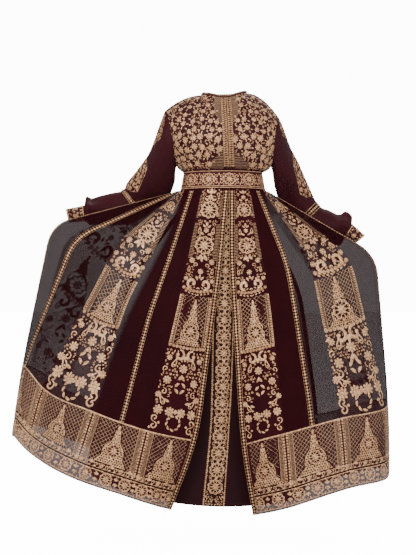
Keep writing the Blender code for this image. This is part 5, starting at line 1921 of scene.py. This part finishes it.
# The stage: how far the floor reaches, how strongly the air lights the garment, how much
# brighter than the paper the air looks, where the camera stands and what the lights face
FLOOR_REACH = 30.0
AIR_LIGHT = 0.66
AIR_OVER_PAPER = 2.0
CAMERA_X = -0.0544
CAMERA_Z = -0.614
LIGHT_AIM = (-0.05, 0.0, -0.6)
Lamp = namedtuple("Lamp", "name place size power")
LAMPS = (
    Lamp("key light", (-1.9, -3.2, 1.9), 1.5, 118.0),
    Lamp("fill light", (2.6, -3.0, 0.9), 2.2, 60.0),
    Lamp("back light", (0.6, 2.4, 2.2), 2.0, 55.0),
)


def make_stage():
    sizes = bpy.context.scene.kaftan_studio
    paper = paper_finish(sizes.paper_glow)
    reach = FLOOR_REACH
    corners = [(-reach, -reach), (reach, -reach), (reach, reach), (-reach, reach)]
    data = bpy.data.meshes.new("studio_floor")
    data.from_pydata([(x, y, sizes.floor_height) for x, y in corners], [], [(0, 1, 2, 3)])
    data.materials.append(paper)
    ground = bpy.data.objects.new("studio_floor", data)
    bpy.context.scene.collection.objects.link(ground)
    bpy.context.scene.world = studio_air(sizes.paper_glow)

    for lamp in LAMPS:
        light = bpy.data.lights.new(lamp.name, "AREA")
        light.energy = lamp.power
        light.size = lamp.size
        made = bpy.data.objects.new(lamp.name, light)
        made.location = lamp.place
        aim = Vector(LIGHT_AIM) - Vector(lamp.place)
        made.rotation_euler = aim.to_track_quat("-Z", "Y").to_euler()
        bpy.context.scene.collection.objects.link(made)

    view = bpy.data.cameras.new("camera")
    view.lens = sizes.lens
    view.sensor_width = 36.0
    camera = bpy.data.objects.new("camera", view)
    camera.location = (CAMERA_X, -sizes.distance, CAMERA_Z)
    camera.rotation_euler = (math.pi / 2, 0.0, 0.0)
    bpy.context.scene.collection.objects.link(camera)
    bpy.context.scene.camera = camera


def seen_directly(tree):
    """1 where the camera sees a place with no sheer cloth before it, and 0 elsewhere."""
    rays = tree.nodes.new("ShaderNodeLightPath")
    clear = tree.nodes.new("ShaderNodeMath")
    clear.operation = "LESS_THAN"
    clear.inputs[1].default_value = 0.5
    seen = tree.nodes.new("ShaderNodeMath")
    seen.operation = "MULTIPLY"
    tree.links.new(rays.outputs["Transparent Depth"], clear.inputs[0])
    tree.links.new(rays.outputs["Is Camera Ray"], seen.inputs[0])
    tree.links.new(clear.outputs["Value"], seen.inputs[1])
    return seen.outputs["Value"]


def paper_finish(glow):
    """White paper whose glow shows only where nothing is in front of it.

    It doesn't light the garment, and it isn't seen through the sheer cloth.
    """
    made, tree, shader = new_finish("studio paper", 0.9)
    spots = coordinates_of(tree, "Object")
    tone(tree, shader, (0.78, 0.78, 0.785), (0.81, 0.81, 0.81), spots, 2.0)
    light = tree.nodes.new("ShaderNodeEmission")
    light.inputs["Strength"].default_value = glow
    both = tree.nodes.new("ShaderNodeAddShader")
    chosen = tree.nodes.new("ShaderNodeMixShader")
    tree.links.new(shader.outputs["BSDF"], both.inputs[0])
    tree.links.new(light.outputs["Emission"], both.inputs[1])
    tree.links.new(seen_directly(tree), chosen.inputs["Fac"])
    tree.links.new(shader.outputs["BSDF"], chosen.inputs[1])
    tree.links.new(both.outputs["Shader"], chosen.inputs[2])
    tree.links.new(chosen.outputs["Shader"], tree.nodes["Material Output"].inputs["Surface"])
    return made


def studio_air(glow):
    """Soft white light from all round, which looks as white as the paper itself."""
    world = bpy.data.worlds.new("studio air")
    world.use_nodes = True
    tree = world.node_tree
    soft = tree.nodes["Background"]
    soft.inputs["Color"].default_value = (1.0, 1.0, 1.0, 1.0)
    soft.inputs["Strength"].default_value = AIR_LIGHT
    white = tree.nodes.new("ShaderNodeBackground")
    white.inputs["Strength"].default_value = glow + AIR_OVER_PAPER
    chosen = tree.nodes.new("ShaderNodeMixShader")
    tree.links.new(seen_directly(tree), chosen.inputs["Fac"])
    tree.links.new(soft.outputs["Background"], chosen.inputs[1])
    tree.links.new(white.outputs["Background"], chosen.inputs[2])
    tree.links.new(chosen.outputs["Shader"], tree.nodes["World Output"].inputs["Surface"])
    return world


class BodiceOperator(bpy.types.Operator):
    """Make the bodice's cloth, placket bands and neck binding"""

    bl_idname = "kaftan.bodice"
    bl_label = "Bodice"

    def execute(self, context):
        make_bodice()
        return {"FINISHED"}


class BeltOperator(bpy.types.Operator):
    """Make the belt and its cords"""

    bl_idname = "kaftan.belt"
    bl_label = "Belt"

    def execute(self, context):
        make_belt()
        return {"FINISHED"}


class SleevesOperator(bpy.types.Operator):
    """Make the sleeves, elbow bands and cuffs"""

    bl_idname = "kaftan.sleeves"
    bl_label = "Sleeves"

    def execute(self, context):
        make_sleeves()
        return {"FINISHED"}


class GoresOperator(bpy.types.Operator):
    """Make the overskirt's gores"""

    bl_idname = "kaftan.gores"
    bl_label = "Overskirt gores"

    def execute(self, context):
        make_gores()
        return {"FINISHED"}


class SkirtTrimsOperator(bpy.types.Operator):
    """Make the gold bands down the overskirt"""

    bl_idname = "kaftan.skirt_trims"
    bl_label = "Overskirt trims"

    def execute(self, context):
        make_skirt_trims()
        make_fold_lines()
        return {"FINISHED"}


class HemBorderOperator(bpy.types.Operator):
    """Make the overskirt's hem border"""

    bl_idname = "kaftan.hem_border"
    bl_label = "Hem border"

    def execute(self, context):
        make_hem_border()
        return {"FINISHED"}


class InnerSkirtOperator(bpy.types.Operator):
    """Make the inner skirt and its front panel"""

    bl_idname = "kaftan.inner_skirt"
    bl_label = "Inner skirt"

    def execute(self, context):
        make_inner_skirt()
        return {"FINISHED"}


class StageOperator(bpy.types.Operator):
    """Make the studio floor, the lights and the camera"""

    bl_idname = "kaftan.stage"
    bl_label = "Studio"

    def execute(self, context):
        make_stage()
        return {"FINISHED"}


class KaftanPanel(bpy.types.Panel):
    """Lists the kaftan's colours, sizes and pieces"""

    bl_idname = "VIEW3D_PT_kaftan"
    bl_label = "Worn kaftan"
    bl_space_type = "VIEW_3D"
    bl_region_type = "UI"
    bl_category = "Kaftan"

    def draw(self, context):
        for group in (context.scene.kaftan_colours, context.scene.kaftan_studio):
            for name in group.__annotations__:
                self.layout.prop(group, name)
        for operator in OPERATORS:
            self.layout.operator(operator.bl_idname)


OPERATORS = (
    BodiceOperator,
    BeltOperator,
    SleevesOperator,
    GoresOperator,
    SkirtTrimsOperator,
    HemBorderOperator,
    InnerSkirtOperator,
    StageOperator,
)


def register():
    for group in (KaftanColours, StudioSizes, *OPERATORS, KaftanPanel):
        bpy.utils.register_class(group)
    bpy.types.Scene.kaftan_colours = PointerProperty(type=KaftanColours)
    bpy.types.Scene.kaftan_studio = PointerProperty(type=StudioSizes)


def unregister():
    del bpy.types.Scene.kaftan_studio
    del bpy.types.Scene.kaftan_colours
    for group in (KaftanPanel, *reversed(OPERATORS), StudioSizes, KaftanColours):
        bpy.utils.unregister_class(group)


def main():
    register()
    bpy.ops.kaftan.bodice()
    bpy.ops.kaftan.belt()
    bpy.ops.kaftan.sleeves()
    bpy.ops.kaftan.gores()
    bpy.ops.kaftan.skirt_trims()
    bpy.ops.kaftan.hem_border()
    bpy.ops.kaftan.inner_skirt()
    bpy.ops.kaftan.stage()


if __name__ == "__main__":
    main()
